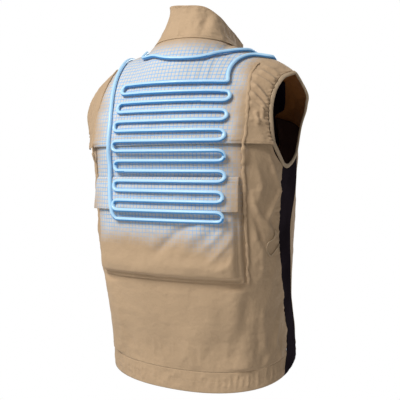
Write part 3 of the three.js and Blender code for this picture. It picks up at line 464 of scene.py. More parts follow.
# Folds: line of turns in degrees and shares of the height, then width and rise in millimetres
BACK_FOLDS = [
    ([(27, 0.3), (27.6, 0.212), (16.2, 0.135), (6.2, 0.07)], 24, 4.5),
    ([(48.5, 0.3), (45.5, 0.2), (39.5, 0.14), (38, 0.065)], 13, -4.5),
    ([(-34.8, 0.252), (-33.7, 0.14), (-40.8, 0.05)], 12, 2),
    ([(-52, 0.5), (-57, 0.4), (-55, 0.28)], 10, 2.5),
    ([(-60, 0.6), (-66, 0.5), (-62, 0.4)], 9, 3),
    ([(60.8, 0.267), (56.9, 0.175), (59, 0.078)], 10, 2.5),
    ([(78.7, 0.214), (68.3, 0.129), (73.3, 0.04)], 8, 2.5),
    ([(48.7, 0.494), (56.9, 0.422), (57.6, 0.331)], 8, 3),
    ([(51.2, 0.684), (55.8, 0.616), (51.9, 0.554)], 7, 2.5),
    ([(58.7, 0.718), (65.1, 0.668), (71.9, 0.608)], 6, 3),
    ([(47, 0.6), (50, 0.553), (56, 0.512), (66, 0.475)], 8, 4.5),
    ([(74, 0.615), (66, 0.563), (60, 0.51)], 6, 3.5),
    ([(50, 0.53), (54, 0.49), (57, 0.44)], 6, -2.5),
]
YOKE_FOLDS = [
    ([(44, 0.966), (50, 0.965), (56, 0.962)], 3.5, 1.0),
    ([(43, 0.945), (48, 0.942), (55, 0.935)], 4, 2.0),
    ([(41.5, 0.925), (48, 0.92), (54, 0.913)], 4, 2.0),
    ([(42, 0.9), (47, 0.885), (53, 0.862)], 4.5, 2.6),
    ([(42, 0.875), (46.6, 0.861), (52.5, 0.838)], 4, 2.2),
    ([(42, 0.845), (46.6, 0.838), (52, 0.825)], 4, 1.8),
    ([(43.7, 0.8), (47.6, 0.798), (54, 0.805)], 5, 1.4),
    ([(46.2, 0.828), (48.7, 0.785)], 4, 1.6),
    ([(49, 0.846), (50.5, 0.806)], 3.5, 1.4),
]
POCKET_FOLDS = [
    ([(26, 0.53), (21.9, 0.509), (13.4, 0.462), (4.8, 0.419), (-3, 0.385)], 8, -4.5),
    ([(27.5, 0.49), (19.5, 0.435), (14, 0.39)], 11, 3),
    ([(40.5, 0.518), (34.1, 0.466), (25.1, 0.409)], 5, 2),
    ([(43, 0.482), (38, 0.437), (28.7, 0.379)], 5, 2),
    ([(44.8, 0.436), (39.1, 0.384), (33, 0.36)], 5, 2),
    ([(-30, 0.5), (-20, 0.44), (-16, 0.38)], 14, 1.5),
]


def fold_lift(turn, height, folds, mirror=False):
    a = np.degrees(turn) * DEGREE_LENGTH * (-1 if mirror else 1)
    b = height * BODY_LENGTH
    total = np.zeros(np.shape(turn))
    for line, width, rise in folds:
        line = np.array([(t * DEGREE_LENGTH, h * BODY_LENGTH) for t, h in line])
        lengths = np.hypot(*np.diff(line, axis=0).T)
        whole = lengths.sum()
        best = np.full(np.shape(turn), 1e9)
        share = np.zeros(np.shape(turn))
        done = 0
        for p, q, length in zip(line[:-1], line[1:], lengths):
            d = q - p
            t = np.clip(((a - p[0]) * d[0] + (b - p[1]) * d[1]) / (d @ d), 0, 1)
            away = np.hypot(a - p[0] - t * d[0], b - p[1] - t * d[1])
            share = np.where(away < best, (done + t * length) / whole, share)
            best = np.minimum(best, away)
            done += length
        ends = np.clip(6 * share, 0, 1) * np.clip(6 * (1 - share), 0, 1)
        total = total + rise * (0.25 + 0.75 * ends) * np.exp(-((best / width) ** 2))
    return total


def make_mesh(name, points, faces, uv=None, flat_from=None, inner_from=None):
    mesh = bpy.data.meshes.new(name)
    points = np.asarray(points, float) * MM
    faces = np.asarray(faces, int)
    sides = faces.shape[1]
    mesh.vertices.add(len(points))
    mesh.vertices.foreach_set("co", points.ravel())
    mesh.loops.add(faces.size)
    mesh.loops.foreach_set("vertex_index", faces.ravel())
    mesh.polygons.add(len(faces))
    mesh.polygons.foreach_set("loop_start", np.arange(0, faces.size, sides))
    mesh.update(calc_edges=True)
    smooth_flags = np.ones(len(faces), bool)
    if flat_from is not None:
        smooth_flags[flat_from:] = False
    mesh.polygons.foreach_set("use_smooth", smooth_flags)
    if inner_from is not None:
        index = np.zeros(len(faces), int)
        index[inner_from:flat_from] = 1
        mesh.polygons.foreach_set("material_index", index)
    if uv is not None:
        layer = mesh.uv_layers.new(name="cloth")
        layer.data.foreach_set("uv", (np.asarray(uv, float)[faces.ravel()] * MM).ravel())
    mesh.update()
    obj = bpy.data.objects.new(name, mesh)
    bpy.context.scene.collection.objects.link(obj)
    return obj


def grid_faces(across, up, offset=0, flip=False):
    i, j = np.meshgrid(np.arange(across - 1), np.arange(up - 1), indexing="ij")
    a = (offset + i * up + j).ravel()
    quad = np.stack([a, a + up, a + up + 1, a + 1], 1)
    return quad[:, ::-1] if flip else quad


def shell(name, outer, inner, uv):
    """Closed sheet from an outer and an inner grid of points."""
    across, up = outer.shape[:2]
    n = across * up
    points = np.concatenate([outer.reshape(-1, 3), inner.reshape(-1, 3)])
    index = np.arange(n).reshape(across, up)
    rims = []
    for line in (index[:, 0], index[-1, :], index[::-1, -1], index[0, ::-1]):
        rims.append(np.stack([line[:-1] + n, line[1:] + n, line[1:], line[:-1]], 1))
    faces = np.concatenate([grid_faces(across, up), grid_faces(across, up, n, True)] + rims)
    uv = np.concatenate([uv.reshape(-1, 2), uv.reshape(-1, 2)])
    side = (across - 1) * (up - 1)
    return make_mesh(name, points, faces, uv, 2 * side, side)


def cloth_uv(points):
    """Lengths along the two directions of the grid, for the weave."""
    across = np.linalg.norm(np.diff(points, axis=0), axis=-1)
    up = np.linalg.norm(np.diff(points, axis=1), axis=-1)
    u = np.concatenate([np.zeros((1, points.shape[1])), np.cumsum(across, 0)])
    u = u - u[len(u) // 2 : len(u) // 2 + 1]
    v = np.concatenate([np.zeros((points.shape[0], 1)), np.cumsum(up, 1)], 1)
    return np.stack([u, v], -1)


def cloth_piece(name, turn, height, lift, cloth, sideways=1.0, extra=0.0):
    point = surface(turn, height)
    normal = facing(turn, height)
    way = normal.copy()
    way[..., 0] *= sideways
    way = unit(way)
    stretch = 1 / np.sum(way * normal, -1)
    base = lift + extra
    inner = point + way * (base * stretch)[..., None]
    outer = point + way * ((base + cloth) * stretch)[..., None]
    return shell(name, outer, inner, cloth_uv(point)), outer


def length_along(points):
    return np.concatenate([[0], np.cumsum(np.linalg.norm(np.diff(points, axis=0), axis=1))])


def nearest_to(line, points):
    return np.argmin(np.linalg.norm(line[:, None] - np.asarray(points)[None], axis=-1), 1)


def evened(normals, rounds):
    for _ in range(rounds):
        normals = unit(np.roll(normals, 1, 0) + normals + np.roll(normals, -1, 0))
    return normals


def carried(tangent, normal):
    """Sideways directions carried along a closed line without twist, with the last turn shared out."""
    across = [unit(np.cross(tangent[0], normal))]
    for way in np.concatenate([tangent[1:], tangent[:1]]):
        across.append(unit(across[-1] - way * np.dot(across[-1], way)))
    last = across.pop()
    across = np.array(across)
    turn = math.atan2(np.dot(np.cross(last, across[0]), tangent[0]), np.dot(last, across[0]))
    angle = (turn * np.arange(len(across)) / len(across))[:, None]
    return across * np.cos(angle) + np.cross(tangent, across) * np.sin(angle)


def strand(name, points, normals, radius_across, radius_up, sides=12, closed=False, power=1.0, carry=False):
    """Tube along points; the radii may be one number or one for each point."""
    n = len(points)
    before = np.roll(points, 1, 0)
    after = np.roll(points, -1, 0)
    if not closed:
        before[0] = points[0]
        after[-1] = points[-1]
    tangent = unit(after - before)
    across = carried(tangent, normals[0]) if carry else unit(np.cross(tangent, normals))
    up = unit(np.cross(across, tangent))
    angle = (np.arange(sides) + 0.5) * 2 * math.pi / sides
    cap = np.ones(n)
    if not closed:
        cap[[0, -1]] = 0.05
        cap[[1, -2]] = 0.7
    ra = (cap * radius_across)[:, None, None]
    ru = (cap * radius_up)[:, None, None]
    cosine = np.sign(np.cos(angle)) * np.abs(np.cos(angle)) ** power
    sine = np.sign(np.sin(angle)) * np.abs(np.sin(angle)) ** power
    sideways = ra * across[:, None] * cosine[None, :, None]
    upwards = ru * up[:, None] * sine[None, :, None]
    rings = points[:, None] + sideways + upwards
    i = np.arange(n if closed else n - 1)
    faces = []
    for k in range(sides):
        next_k = (k + 1) % sides
        here = i * sides
        there = (i + 1) % n * sides
        faces.append(np.stack([here + k, there + k, there + next_k, here + next_k], 1))
    faces = np.concatenate(faces)
    u = np.broadcast_to(angle * np.mean(radius_across), (n, sides))
    v = np.broadcast_to(length_along(points)[:, None], (n, sides))
    return make_mesh(name, rings.reshape(-1, 3), faces, np.stack([u, v], -1).reshape(-1, 2))


def resample(points, step):
    """Points at even steps along a smooth line through the given points."""
    points = np.asarray(points, float)
    padded = np.concatenate([2 * points[:1] - points[1:2], points, 2 * points[-1:] - points[-2:-1]])
    fine = []
    for i in range(1, len(padded) - 2):
        p0, p1, p2, p3 = padded[i - 1 : i + 3]
        for t in np.arange(0, 1, 0.1):
            bend = (2 * p0 - 5 * p1 + 4 * p2 - p3) * t**2 + (3 * p1 - p0 - 3 * p2 + p3) * t**3
            fine.append(0.5 * (2 * p1 + (p2 - p0) * t + bend))
    fine.append(padded[-2])
    fine = np.array(fine)
    length = length_along(fine)
    count = max(int(length[-1] / step), 2)
    at = np.linspace(0, length[-1], count + 1)
    return np.stack([np.interp(at, length, fine[:, k]) for k in range(fine.shape[1])], 1)


def stitch_row(name, points, normals, pitch=4.2, length=2.9, radius=0.42):
    """Row of thread stitches along a line, as one mesh of short six-sided stitches with tucked ends."""
    line = resample(points, 0.7)
    normal = unit(np.asarray(normals)[nearest_to(line, points)])
    away = length_along(line)
    starts = np.arange(pitch / 2, away[-1] - length, pitch)
    angle = np.arange(THREAD_SIDES) * 2 * math.pi / THREAD_SIDES
    rings = []
    for share, size, rise in ((0, 0.3, -0.5), (0.2, 1, 0.15), (0.8, 1, 0.15), (1, 0.3, -0.5)):
        at = starts + share * length
        centre = np.stack([np.interp(at, away, line[:, k]) for k in range(3)], 1)
        up = unit(np.stack([np.interp(at, away, normal[:, k]) for k in range(3)], 1))
        ahead = np.stack([np.interp(at + 0.5, away, line[:, k]) for k in range(3)], 1)
        tangent = unit(ahead - centre + 1e-6)
        across = unit(np.cross(tangent, up))
        centre = centre + up * (rise * radius)
        ring = across[:, None] * np.cos(angle)[None, :, None] + up[:, None] * np.sin(angle)[None, :, None]
        rings.append(centre[:, None] + radius * size * ring)
    rings = np.stack(rings, 1)
    count = len(starts)
    base = (np.arange(count) * 4 * THREAD_SIDES)[:, None]
    faces = []
    for ring in range(3):
        for k in range(THREAD_SIDES):
            a = base + ring * THREAD_SIDES + k
            b = base + ring * THREAD_SIDES + (k + 1) % THREAD_SIDES
            faces.append(np.concatenate([a, a + THREAD_SIDES, b + THREAD_SIDES, b], 1))
    obj = make_mesh(name, rings.reshape(-1, 3), np.concatenate(faces))
    finish_piece(obj, thread, "cloth")


# Materials
class Nodes:
    """Short ways to add and join the nodes of a material or of the world."""

    def __init__(self, owner):
        owner.use_nodes = True
        self.nodes = owner.node_tree.nodes
        self.links = owner.node_tree.links

    def fill(self, socket, value):
        if isinstance(value, (int, float)):
            socket.default_value = value
        elif isinstance(value, tuple):
            socket.default_value = (*value, 1)
        else:
            self.links.new(value, socket)

    def add(self, kind, inputs=(), **values):
        node = self.nodes.new(kind)
        for key, value in values.items():
            setattr(node, key, value)
        for key, value in dict(inputs).items():
            self.fill(node.inputs[key], value)
        return node

    def math(self, operation, a, b=0.0):
        return self.add("ShaderNodeMath", {0: a, 1: b}, operation=operation).outputs[0]

    def fade(self, value, start, end):
        inputs = {"Value": value, "From Min": start, "From Max": end}
        return self.add("ShaderNodeMapRange", inputs, interpolation_type="SMOOTHSTEP").outputs["Result"]

    def mix(self, factor, a, b):
        node = self.add("ShaderNodeMix", {"Factor": factor, "A": a, "B": b}, data_type="RGBA")
        return node.outputs["Result"]

    def noise(self, place, scale, detail):
        inputs = {"Vector": place.outputs["Object"], "Scale": scale, "Detail": detail}
        return self.add("ShaderNodeTexNoise", inputs).outputs["Fac"]

    def bump(self, height, strength, depth, **inputs):
        inputs = {"Height": height, "Strength": strength, "Distance": depth * MM, **inputs}
        return self.add("ShaderNodeBump", inputs).outputs["Normal"]


def new_material(name, roughness, **values):
    material = bpy.data.materials.new(name)
    make = Nodes(material)
    shader = make.nodes["Principled BSDF"]
    for key, value in {"Roughness": roughness, **values}.items():
        make.fill(shader.inputs[key.replace("_", " ")], value)
    return material, make, shader


def tinted(color, factor):
    return tuple(min(c * factor, 1) for c in color)


def cloth_material(name, color, roughness, pitch, depth, variation=0.08, sheen=0.1, grid=False, gloss=0.15):
    values = {"Sheen_Weight": sheen, "Sheen_Roughness": 0.5, "Specular_IOR_Level": gloss}
    material, make, shader = new_material(name, roughness, **values)
    place = make.add("ShaderNodeTexCoord")
    blotch = make.fade(make.noise(place, 11.0, 5.0), 0.3, 0.7)
    fleck = make.noise(place, 700.0, 2.0)
    tone = make.math("ADD", make.math("MULTIPLY", blotch, 0.6), make.math("MULTIPLY", fleck, 0.4))
    shown = make.mix(tone, tinted(color, 1 - variation), tinted(color, 1 + variation))
    scale = 2 * math.pi / 20 / (pitch * MM)
    wave = {"Vector": place.outputs["UV"], "Scale": scale, "Distortion": 0.4, "Detail": 1.0}
    warp, weft = (make.add("ShaderNodeTexWave", wave, bands_direction=axis).outputs["Fac"] for axis in "XY")
    weave = make.math("MULTIPLY", warp, weft)
    wrinkle = make.bump(make.noise(place, WRINKLE_SCALE, 6.0), 0.55, WRINKLE_DEPTH)
    normal = make.bump(make.math("ADD", weave, fleck), 0.5, depth, Normal=wrinkle)
    make.fill(shader.inputs["Normal"], normal)
    # Slightly paler crowns of the weave
    shown = make.mix(make.math("MULTIPLY", weave, 0.16), shown, tinted(color, 1.35))
    if grid:
        shown = glow_grid(make, place, shown)
    make.fill(shader.inputs["Base Color"], shown)
    return material


def glow_grid(make, place, base):
    """Pale check over the upper back, fading out at its edges."""
    split = make.add("ShaderNodeSeparateXYZ", {"Vector": place.outputs["Object"]})
    x, y, z = (split.outputs[axis] for axis in "XYZ")
    wander = make.math("MULTIPLY", make.math("SUBTRACT", make.noise(place, 14.0, 2.0), 0.5), GLOW_WANDER)
    reach = make.math("ADD", make.math("ABSOLUTE", make.math("SUBTRACT", x, GRID_CENTRE)), wander)
    veil = make.fade(reach, *GLOW_SIDES)
    for value, edge in ((make.math("ADD", z, wander), GLOW_FOOT), (y, GLOW_BEHIND), (z, GLOW_NECK)):
        veil = make.math("MULTIPLY", veil, make.fade(value, *edge))

    def line(value):
        return make.fade(make.math("PINGPONG", value, GRID_PITCH / 2), GRID_LINE / 2, GRID_LINE / 4)

    lines = make.math("MULTIPLY", make.math("MAXIMUM", line(x), line(z)), veil)
    pale = make.mix(make.math("MULTIPLY", veil, GLOW_VEIL), base, GRID_PALE)
    return make.mix(make.math("MULTIPLY", lines, GLOW_LINES), pale, GRID_BLUE)


def plain_material(name, color, roughness, shade=0.07, scale=60.0, **values):
    material, make, shader = new_material(name, roughness, **values)
    grain = make.noise(make.add("ShaderNodeTexCoord"), scale, 5.0)
    speckled = make.mix(grain, tinted(color, 1 - shade), tinted(color, 1 + shade))
    make.fill(shader.inputs["Base Color"], speckled)
    make.fill(shader.inputs["Normal"], make.bump(grain, 0.15, 0.2))
    return material


KHAKI = (0.47, 0.335, 0.212)
WRINKLE_SCALE = 46.0
WRINKLE_DEPTH = 6.0
GRID_PALE = (0.66, 0.655, 0.63)
GRID_BLUE = (0.19, 0.44, 0.8)
GRID_PITCH = 0.0072
GRID_LINE = 0.0019
GRID_CENTRE = -0.004
# Where the pale check begins and where it is full, in metres
GLOW_SIDES = (0.16, 0.112)
GLOW_FOOT = (-0.388, -0.325)
GLOW_BEHIND = (-0.015, -0.05)
GLOW_NECK = (0.008, -0.03)
GLOW_WANDER = 0.06
GLOW_VEIL = 0.85
GLOW_LINES = 0.9
TUBE_BLUE = (0.38, 0.56, 0.66)
# Painted glow: colour of the light the tube gives off, though it is no lamp
TUBE_GLOW = (0.25, 0.55, 1.0)
# Painted shade: darker blue of the tube's underside, for faces turned further down than TUBE_SHADE_FROM
TUBE_SHADE_COLOR = (0.02, 0.2, 0.5)
TUBE_SHADE_FROM = -0.25
khaki = cloth_material("khaki_cloth", KHAKI, 0.8, 1.1, 0.25)
khaki_grid = cloth_material("khaki_cloth_grid", KHAKI, 0.8, 1.1, 0.25, grid=True)
# Painted shade: the wrong side of the khaki is nearly black, as it lies in shade inside the vest
inside_cloth = cloth_material("khaki_wrong_side", (0.05, 0.03, 0.018), 0.9, 1.1, 0.2, 0.2, 0.02, gloss=0.0)
# Painted light: the amber of the front panels' wrong side stands for light shining through the cloth
lit_through_cloth = cloth_material("front_wrong_side", (0.3, 0.115, 0.032), 0.9, 1.1, 0.2, 0.25, 0.05, gloss=0.0)
binding_cloth = cloth_material("binding_tape", (0.44, 0.335, 0.225), 0.85, 2.2, 0.6)
side_cloth = cloth_material("side_mesh_knit", (0.021, 0.016, 0.021), 0.9, 2.4, 0.8, 0.45, 0.0, gloss=0.0)
lining_cloth = cloth_material("lining_knit", (0.012, 0.008, 0.016), 0.9, 2.4, 0.8, 0.3, 0.0, gloss=0.0)
inner_cloth = cloth_material("inner_pocket_knit", (0.07, 0.04, 0.035), 0.9, 2.4, 0.8, 0.3, 0.0, gloss=0.0)
zip_cloth = cloth_material("zip_tape", (0.3, 0.21, 0.135), 0.7, 1.4, 0.4)
zip_metal = plain_material("zip_teeth", (0.12, 0.09, 0.06), 0.35, 0.2, 300.0, Metallic=0.8)
thread = plain_material("thread", (0.5, 0.37, 0.245), 0.7, 0.1, 800.0)
# The tube's painted glow, given off though it is no lamp
tube_glow = {"Coat_Weight": 0.1, "Emission_Color": TUBE_GLOW, "Emission_Strength": 0.3}
tube_plastic = plain_material("tube_plastic", TUBE_BLUE, 0.4, 0.03, **tube_glow)
# Painted shade on the tube's underside, with a weaker painted glow
shade_glow = {"Emission_Color": TUBE_GLOW, "Emission_Strength": 0.09}
tube_shade = plain_material("tube_plastic_shade", TUBE_SHADE_COLOR, 0.5, 0.03, **shade_glow)


def finish_piece(obj, material, slot, *replaced, inside=None):
    obj.data.materials.append(material)
    obj.data.materials.append(inside or material)
    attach(obj, "root")
    if replaced:
        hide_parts(*replaced)
    return obj


def finish_sheet(obj, points, material, slot, node, inside=None):
    finish_piece(obj, material, slot, node, inside=inside)


def grid(u, v, across, up):
    return np.meshgrid(np.linspace(*u, across), np.linspace(*v, up), indexing="ij")


def side_grid(side, v, across, up):
    f, r = grid((0, 1), v, across, up)
    return (f if side > 0 else 1 - f), r


def make_back():
    share, r = grid((-1, 1), (0, 1), 210, 190)
    height = lerp(BAND_SHARE, UNDERLAP_TOP, r)
    edge = np.where(share < 0, -back_edge(height, -1), back_edge(height, 1))
    turn = share * inset(edge, height, -1)
    point = surface(turn, height)
    beside = np.maximum(np.abs(point[..., 0]) - 156, POCKET_BOTTOM_Z - 6 - point[..., 2])
    free = smooth(beside / 10) * smooth((YOKE_EDGE_Z - 6 - point[..., 2]) / 14) * smooth(r / 0.02)
    degrees = np.abs(np.degrees(turn))
    to_edge = np.degrees(np.abs(edge)) - degrees
    free = free * (1 - smooth((height - 0.64) / 0.03) * smooth((4.5 - to_edge) / 3))
    seam = smooth((degrees - np.degrees(back_edge(height, 1)) + 9) / 7)
    welt = np.exp(-(((np.abs(point[..., 0]) - 152) / 12) ** 2))
    rough = 1.5 * crumple(point * [1, 1, 0.7], 46, 1) + 0.5 * crumple(point, 17, 2)
    rough = rough * (0.45 + 1.05 * smooth((degrees - 45) / 8))
    rough = rough + seam * 1.6 * crumple(point * [0.5, 0.5, 1.5], 15, 4) + 0.6 * welt * crumple(point, 9, 7)
    low = 1.4 * smooth((0.2 - height) / 0.1) * crumple(point * [1.4, 1.4, 0.5], 22, 8)
    corner = 7 * smooth((0.56 - height) / 0.12) * np.exp(-(((degrees - 42) / 8) ** 2))
    lift = -CLOTH + free * (fold_lift(turn, height, BACK_FOLDS) + rough + low + corner)
    obj, outer = cloth_piece("back_panel_cloth", turn, height, np.maximum(lift, -CLOTH - 3.5), CLOTH)
    finish_sheet(obj, point, khaki_grid, "cloth", "back_panel", inside_cloth)


def make_yoke():
    share, r = grid((0, 1), (0, 1), 210, 130)
    corner = lerp(YOKE_CORNER, 1, r)
    left = armhole_back(corner, -1)
    right = armhole_back(corner, 1)
    turn = lerp(inset(left, corner, 1), inset(right, corner, -1), share)
    edge = yoke_edge(turn)
    height = lerp(edge, 1, r)
    point = surface(turn, height)
    lift = np.where(r > 0.999, -CLOTH, yoke_lift(turn, height))
    rim = np.minimum(smooth(r / 0.05), smooth((1 - r) / 0.05))
    degrees = np.abs(np.degrees(turn))
    side = smooth((degrees - 41) / 5)
    tape = smooth((degrees - np.degrees(np.abs(np.where(turn > 0, right, left))) + 3.2) / 3)
    folded = 2.2 * fold_lift(turn, height, YOKE_FOLDS)
    folded = folded + 0.8 * fold_lift(turn * 0.93, height + 0.012, YOKE_FOLDS, True)
    folded = folded + 3 * np.exp(-(((degrees - 40) / 5) ** 2)) * smooth((0.97 - height) / 0.05)
    rough = side * 0.8 * crumple(point * [0.5, 0.7, 1.2], 16, 5) + 0.35 * crumple(point, 40, 6)
    puckers = tape * 1.1 * np.sin(point[..., 2] * 2 * math.pi / 7 + 2 * noise(point, 25, 9))
    extra = np.maximum(rim * (folded + rough + puckers), -0.6)
    obj, outer = cloth_piece("back_yoke_cloth", turn, height, lift, CLOTH, extra=extra)
    finish_sheet(obj, point, khaki_grid, "cloth", "back_yoke", inside_cloth)
    normal = facing(turn, height)
    for i, row in enumerate((0.035, 0.075)):
        k = int(row * 129)
        stitch_row(f"yoke_stitches_{i}", outer[2:-2, k], normal[2:-2, k])


def make_pocket():
    ends = (np.linspace(0, 0.1, 26)[:-1], np.linspace(0.9, 1, 26)[1:])
    share = np.concatenate([ends[0], np.linspace(0.1, 0.9, 130), ends[1]])
    rise = np.concatenate([np.linspace(0, 0.17, 34)[:-1], np.linspace(0.17, 1, 80)])
    share, rise = np.meshgrid(share, rise, indexing="ij")
    x = lerp(-POCKET_HALF_WIDTH, POCKET_HALF_WIDTH, share)
    z = lerp(POCKET_BOTTOM_Z, POCKET_TOP_Z, rise)
    turn, height = locate(x, z)
    point = surface(turn, height)
    sides = np.clip((POCKET_HALF_WIDTH - np.abs(x)) / POCKET_SIDE_ROUND, 0, 1)
    inside = smooth((POCKET_HALF_WIDTH - 3 - np.abs(x)) / 16) * smooth((z - POCKET_BOTTOM_Z - 6) / 12)
    free = inside * smooth((FLAP_BOTTOM_Z - 2 - z) / 14)
    sag = 5.5 * np.exp(-(((z - POCKET_BOTTOM_Z - 26) / 15) ** 2)) * (0.7 + 0.3 * noise(point, 50, 14))
    rough = 1.5 * crumple(point, 50, 11) + 0.6 * crumple(point, 18, 12)
    rough = rough * (0.45 + 0.55 * smooth((x - 10) / 60))
    flange = smooth((z - POCKET_BOTTOM_Z - 5 - 1.5 * noise(point, 30, 16)) / 9)
    bulge = np.minimum(pocket_lift(x, z), flap_lift(z) - CLOTH - LAYER_GAP - 0.6)
    bulge = lerp(np.minimum(bulge, 3.2), bulge, flange)
    seam = 1 - 0.35 * np.exp(-(((sides - 0.35) / 0.25) ** 2))
    extra = free * (fold_lift(turn, height, POCKET_FOLDS) + rough + sag * smooth(sides * 1.4))
    lift = np.maximum(bulge * seam + extra, LAYER_GAP)
    obj, outer = cloth_piece("pocket_bag_cloth", turn, height, lift, CLOTH, LIFT_SIDEWAYS)
    finish_sheet(obj, point, khaki_grid, "cloth", "pocket_bag", inside_cloth)
    normal = facing(turn, height)
    for name, columns in (("right", -7), ("left", 6)):
        stitch_row(f"pocket_stitches_{name}", outer[columns, 8:90], normal[columns, 8:90])
    stitch_row("pocket_stitches_foot", outer[6:-6, 3], normal[6:-6, 3])
    share, rise = grid((0, 1), (0, 1), 170, 36)
    x = lerp(-POCKET_HALF_WIDTH, POCKET_HALF_WIDTH, share)
    z = lerp(FLAP_BOTTOM_Z, FLAP_TOP_Z, rise)
    turn, height = locate(x, z)
    point = surface(turn, height)
    ripple = 0.9 * noise(point * [1, 1, 0.3], 40, 13) + 0.5 * crumple(point, 24, 15)
    wave = ripple * smooth((1 - rise) / 0.4)
    lift = flap_lift(z)
    obj, outer = cloth_piece("pocket_flap_cloth", turn, height, lift, FLAP_CLOTH, LIFT_SIDEWAYS, wave)
    finish_sheet(obj, point, khaki_grid, "cloth", "pocket_flap", inside_cloth)
    normal = facing(turn, height)
    for name, row in (("top_0", 33), ("top_1", 30), ("foot", 2)):
        stitch_row("flap_stitches_" + name, outer[2:-2, row], normal[2:-2, row])


def make_sides():
    for side, word in SIDES:
        f, r = side_grid(side, (0, 1), 50, 220)
        top_turn = lerp(seam_back(SEAM_TOP_BACK), seam_front(SEAM_TOP_FRONT), f)
        foot = armhole_foot(top_turn)
        back_height = r * SEAM_TOP_BACK
        front_height = r * SEAM_TOP_FRONT
        start = inset(seam_back(back_height), back_height, 1)
        stop = inset(seam_front(front_height), front_height, -1)
        turn = side * lerp(start, stop, f)
        height = r * foot
        point = surface(turn, height)
        rim = np.sqrt(np.sin(math.pi * np.clip(f, 0, 1)))
        rough = (1.3 * crumple(point * [1, 1, 0.6], 34, 21) + 0.5 * crumple(point, 13, 22)) * rim
        obj = cloth_piece("side_mesh_cloth_" + word, turn, height, -MESH_CLOTH + rough, MESH_CLOTH)[0]
        finish_sheet(obj, point, side_cloth, "side_mesh", "side_mesh_" + word)


def front_stop(height):
    return inset(opening_turn(height), height, -1)


def front_place(f, height):
    return lerp(inset(front_edge(height), height, 1), front_stop(height), f)


def make_fronts():
    for side, word in SIDES:
        f, r = side_grid(side, (0, 1), 80, 190)
        height = lerp(BAND_SHARE, 1, r)
        turn = side * front_place(f, height)
        point = surface(turn, height)
        rim = np.minimum(smooth(r / 0.03), smooth((1 - r) / 0.05)) * smooth(f / 0.06) * smooth((1 - f) / 0.06)
        beside = smooth((0.3 - f) / 0.2) * smooth((height - 0.5) / 0.3)
        rough = 1.8 * crumple(point, 60, 31) + 0.5 * crumple(point, 22, 32)
        rough = rough + 1.6 * beside * crumple(point * [0.5, 1, 1], 18, 33)
        lift = -CLOTH + np.maximum(rim * rough, -0.3)
        obj, outer = cloth_piece("front_panel_cloth_" + word, turn, height, lift, CLOTH)
        node = "front_panel_" + word
        # The front panel's inside shows painted light, as if shining through the cloth
        finish_sheet(obj, point, khaki, "cloth", node, lit_through_cloth)
        column = 76 if side > 0 else 3
        normal = facing(turn, height)
        stitch_row("front_stitches_" + word, outer[column, 3:-3], normal[column, 3:-3])
        depth = -CLOTH - LINING_GAP - MESH_CLOTH
        for name, low, upper_low, high, foot, top, material, slot in (
            ("front_lining", 0.506, 0.406, 0.894, 0.345, 0.943, lining_cloth, "lining"),
            ("inner_pocket", 0.006, 0.006, 0.494, 0.505, 0.81, inner_cloth, "inner_mesh"),
        ):
            f, r = side_grid(side, (foot, top), 40, 80)
            start = lerp(low, upper_low, smooth((r - INNER_POCKET_TOP) / LINING_STEP))
            turn = side * front_place(lerp(start, high, f), r)
            obj = cloth_piece(f"{name}_cloth_{word}", turn, r, np.full(r.shape, depth), MESH_CLOTH)[0]
            finish_sheet(obj, surface(turn, r), material, slot, f"{name}_{word}")
    make_zip()


def make_zip():
    f, r = grid((0, 1), (0.002, FRONT_OPEN_FROM - 0.02), 14, 200)
    edge = inset(opening_turn(r), r, 1)
    turn = lerp(edge, 2 * math.pi - edge, f)
    obj = cloth_piece("front_zip_tape", turn, r, np.full(r.shape, -CLOTH), CLOTH)[0]
    finish_piece(obj, zip_cloth, "zip", "front_zip")
    height = np.arange(0.004, FRONT_OPEN_FROM - 0.024, TOOTH_PITCH / BODY_LENGTH)
    centre = surface(np.full(height.shape, math.pi), height)
    normal = facing(np.full(height.shape, math.pi), height)
    points = []
    faces = []
    corner = np.array([(sx, sy, sz) for sx in (-1, 1) for sy in (-1, 1) for sz in (-1, 1)], float)
    box = np.array([(0, 1, 3, 2), (4, 6, 7, 5), (0, 4, 5, 1), (2, 3, 7, 6), (0, 2, 6, 4), (1, 5, 7, 3)])
    size = corner * TOOTH_SIZE
    across = np.array([1.0, 0, 0])
    for i, (place, out) in enumerate(zip(centre, normal)):
        shift = 0.8 if i % 2 else -0.8
        up = np.cross(across, out)
        centre_at = place + out * 0.4 + across * shift
        points.append(centre_at + size[:, :1] * across + size[:, 1:2] * out + size[:, 2:] * up)
        faces.append(box + 8 * i)
    teeth = make_mesh("front_zip_teeth", np.concatenate(points), np.concatenate(faces), flat_from=0)
    finish_piece(teeth, zip_metal, "zip")


def make_hems():
    def band(name, node, start, stop, across):
        f, r = grid((0, 1), (0, 1), across, 20)
        height = r * BAND_SHARE
        turn = lerp(start(height), stop(height), f)
        point = surface(turn, height)
        arc = np.degrees(turn) * DEGREE_LENGTH
        wave = np.sin(2 * math.pi * arc / 11 + 5 * noise(point * [1, 1, 0.3], 40, 41))
        middle = smooth(r / 0.35) * smooth((1 - r) / 0.3)
        gather = (0.2 + 0.8 * smooth((noise(point, 60, 43) + 0.3) / 0.8)) * middle
        ruffle = 0.45 * gather * wave + 1.5 * crumple(point * [1, 1, 0.7], 13, 42) * middle
        dip = 0.25 * np.exp(-(((r - 0.55) / 0.1) ** 2))
        lift = -CLOTH + np.maximum(ruffle - dip, -0.8)
        obj, outer = cloth_piece(name, turn, height, lift, CLOTH)
        finish_sheet(obj, point, khaki, "cloth", node, inside_cloth)
        normal = facing(turn, height)
        stitch_row(name.replace("cloth", "stitches"), outer[1:-1, 10], normal[1:-1, 10])

    def back_end(height):
        return inset(seam_back(height), height, -1)

    def front_start(height):
        return inset(seam_front(height), height, 1)

    band("hem_back_cloth", "hem_back", lambda h: -back_end(h), back_end, 420)
    band("hem_front_cloth_right", "hem_front_right", front_start, front_stop, 160)
    start = lambda h: -front_stop(h)
    stop = lambda h: -front_start(h)
    band("hem_front_cloth_left", "hem_front_left", start, stop, 160)


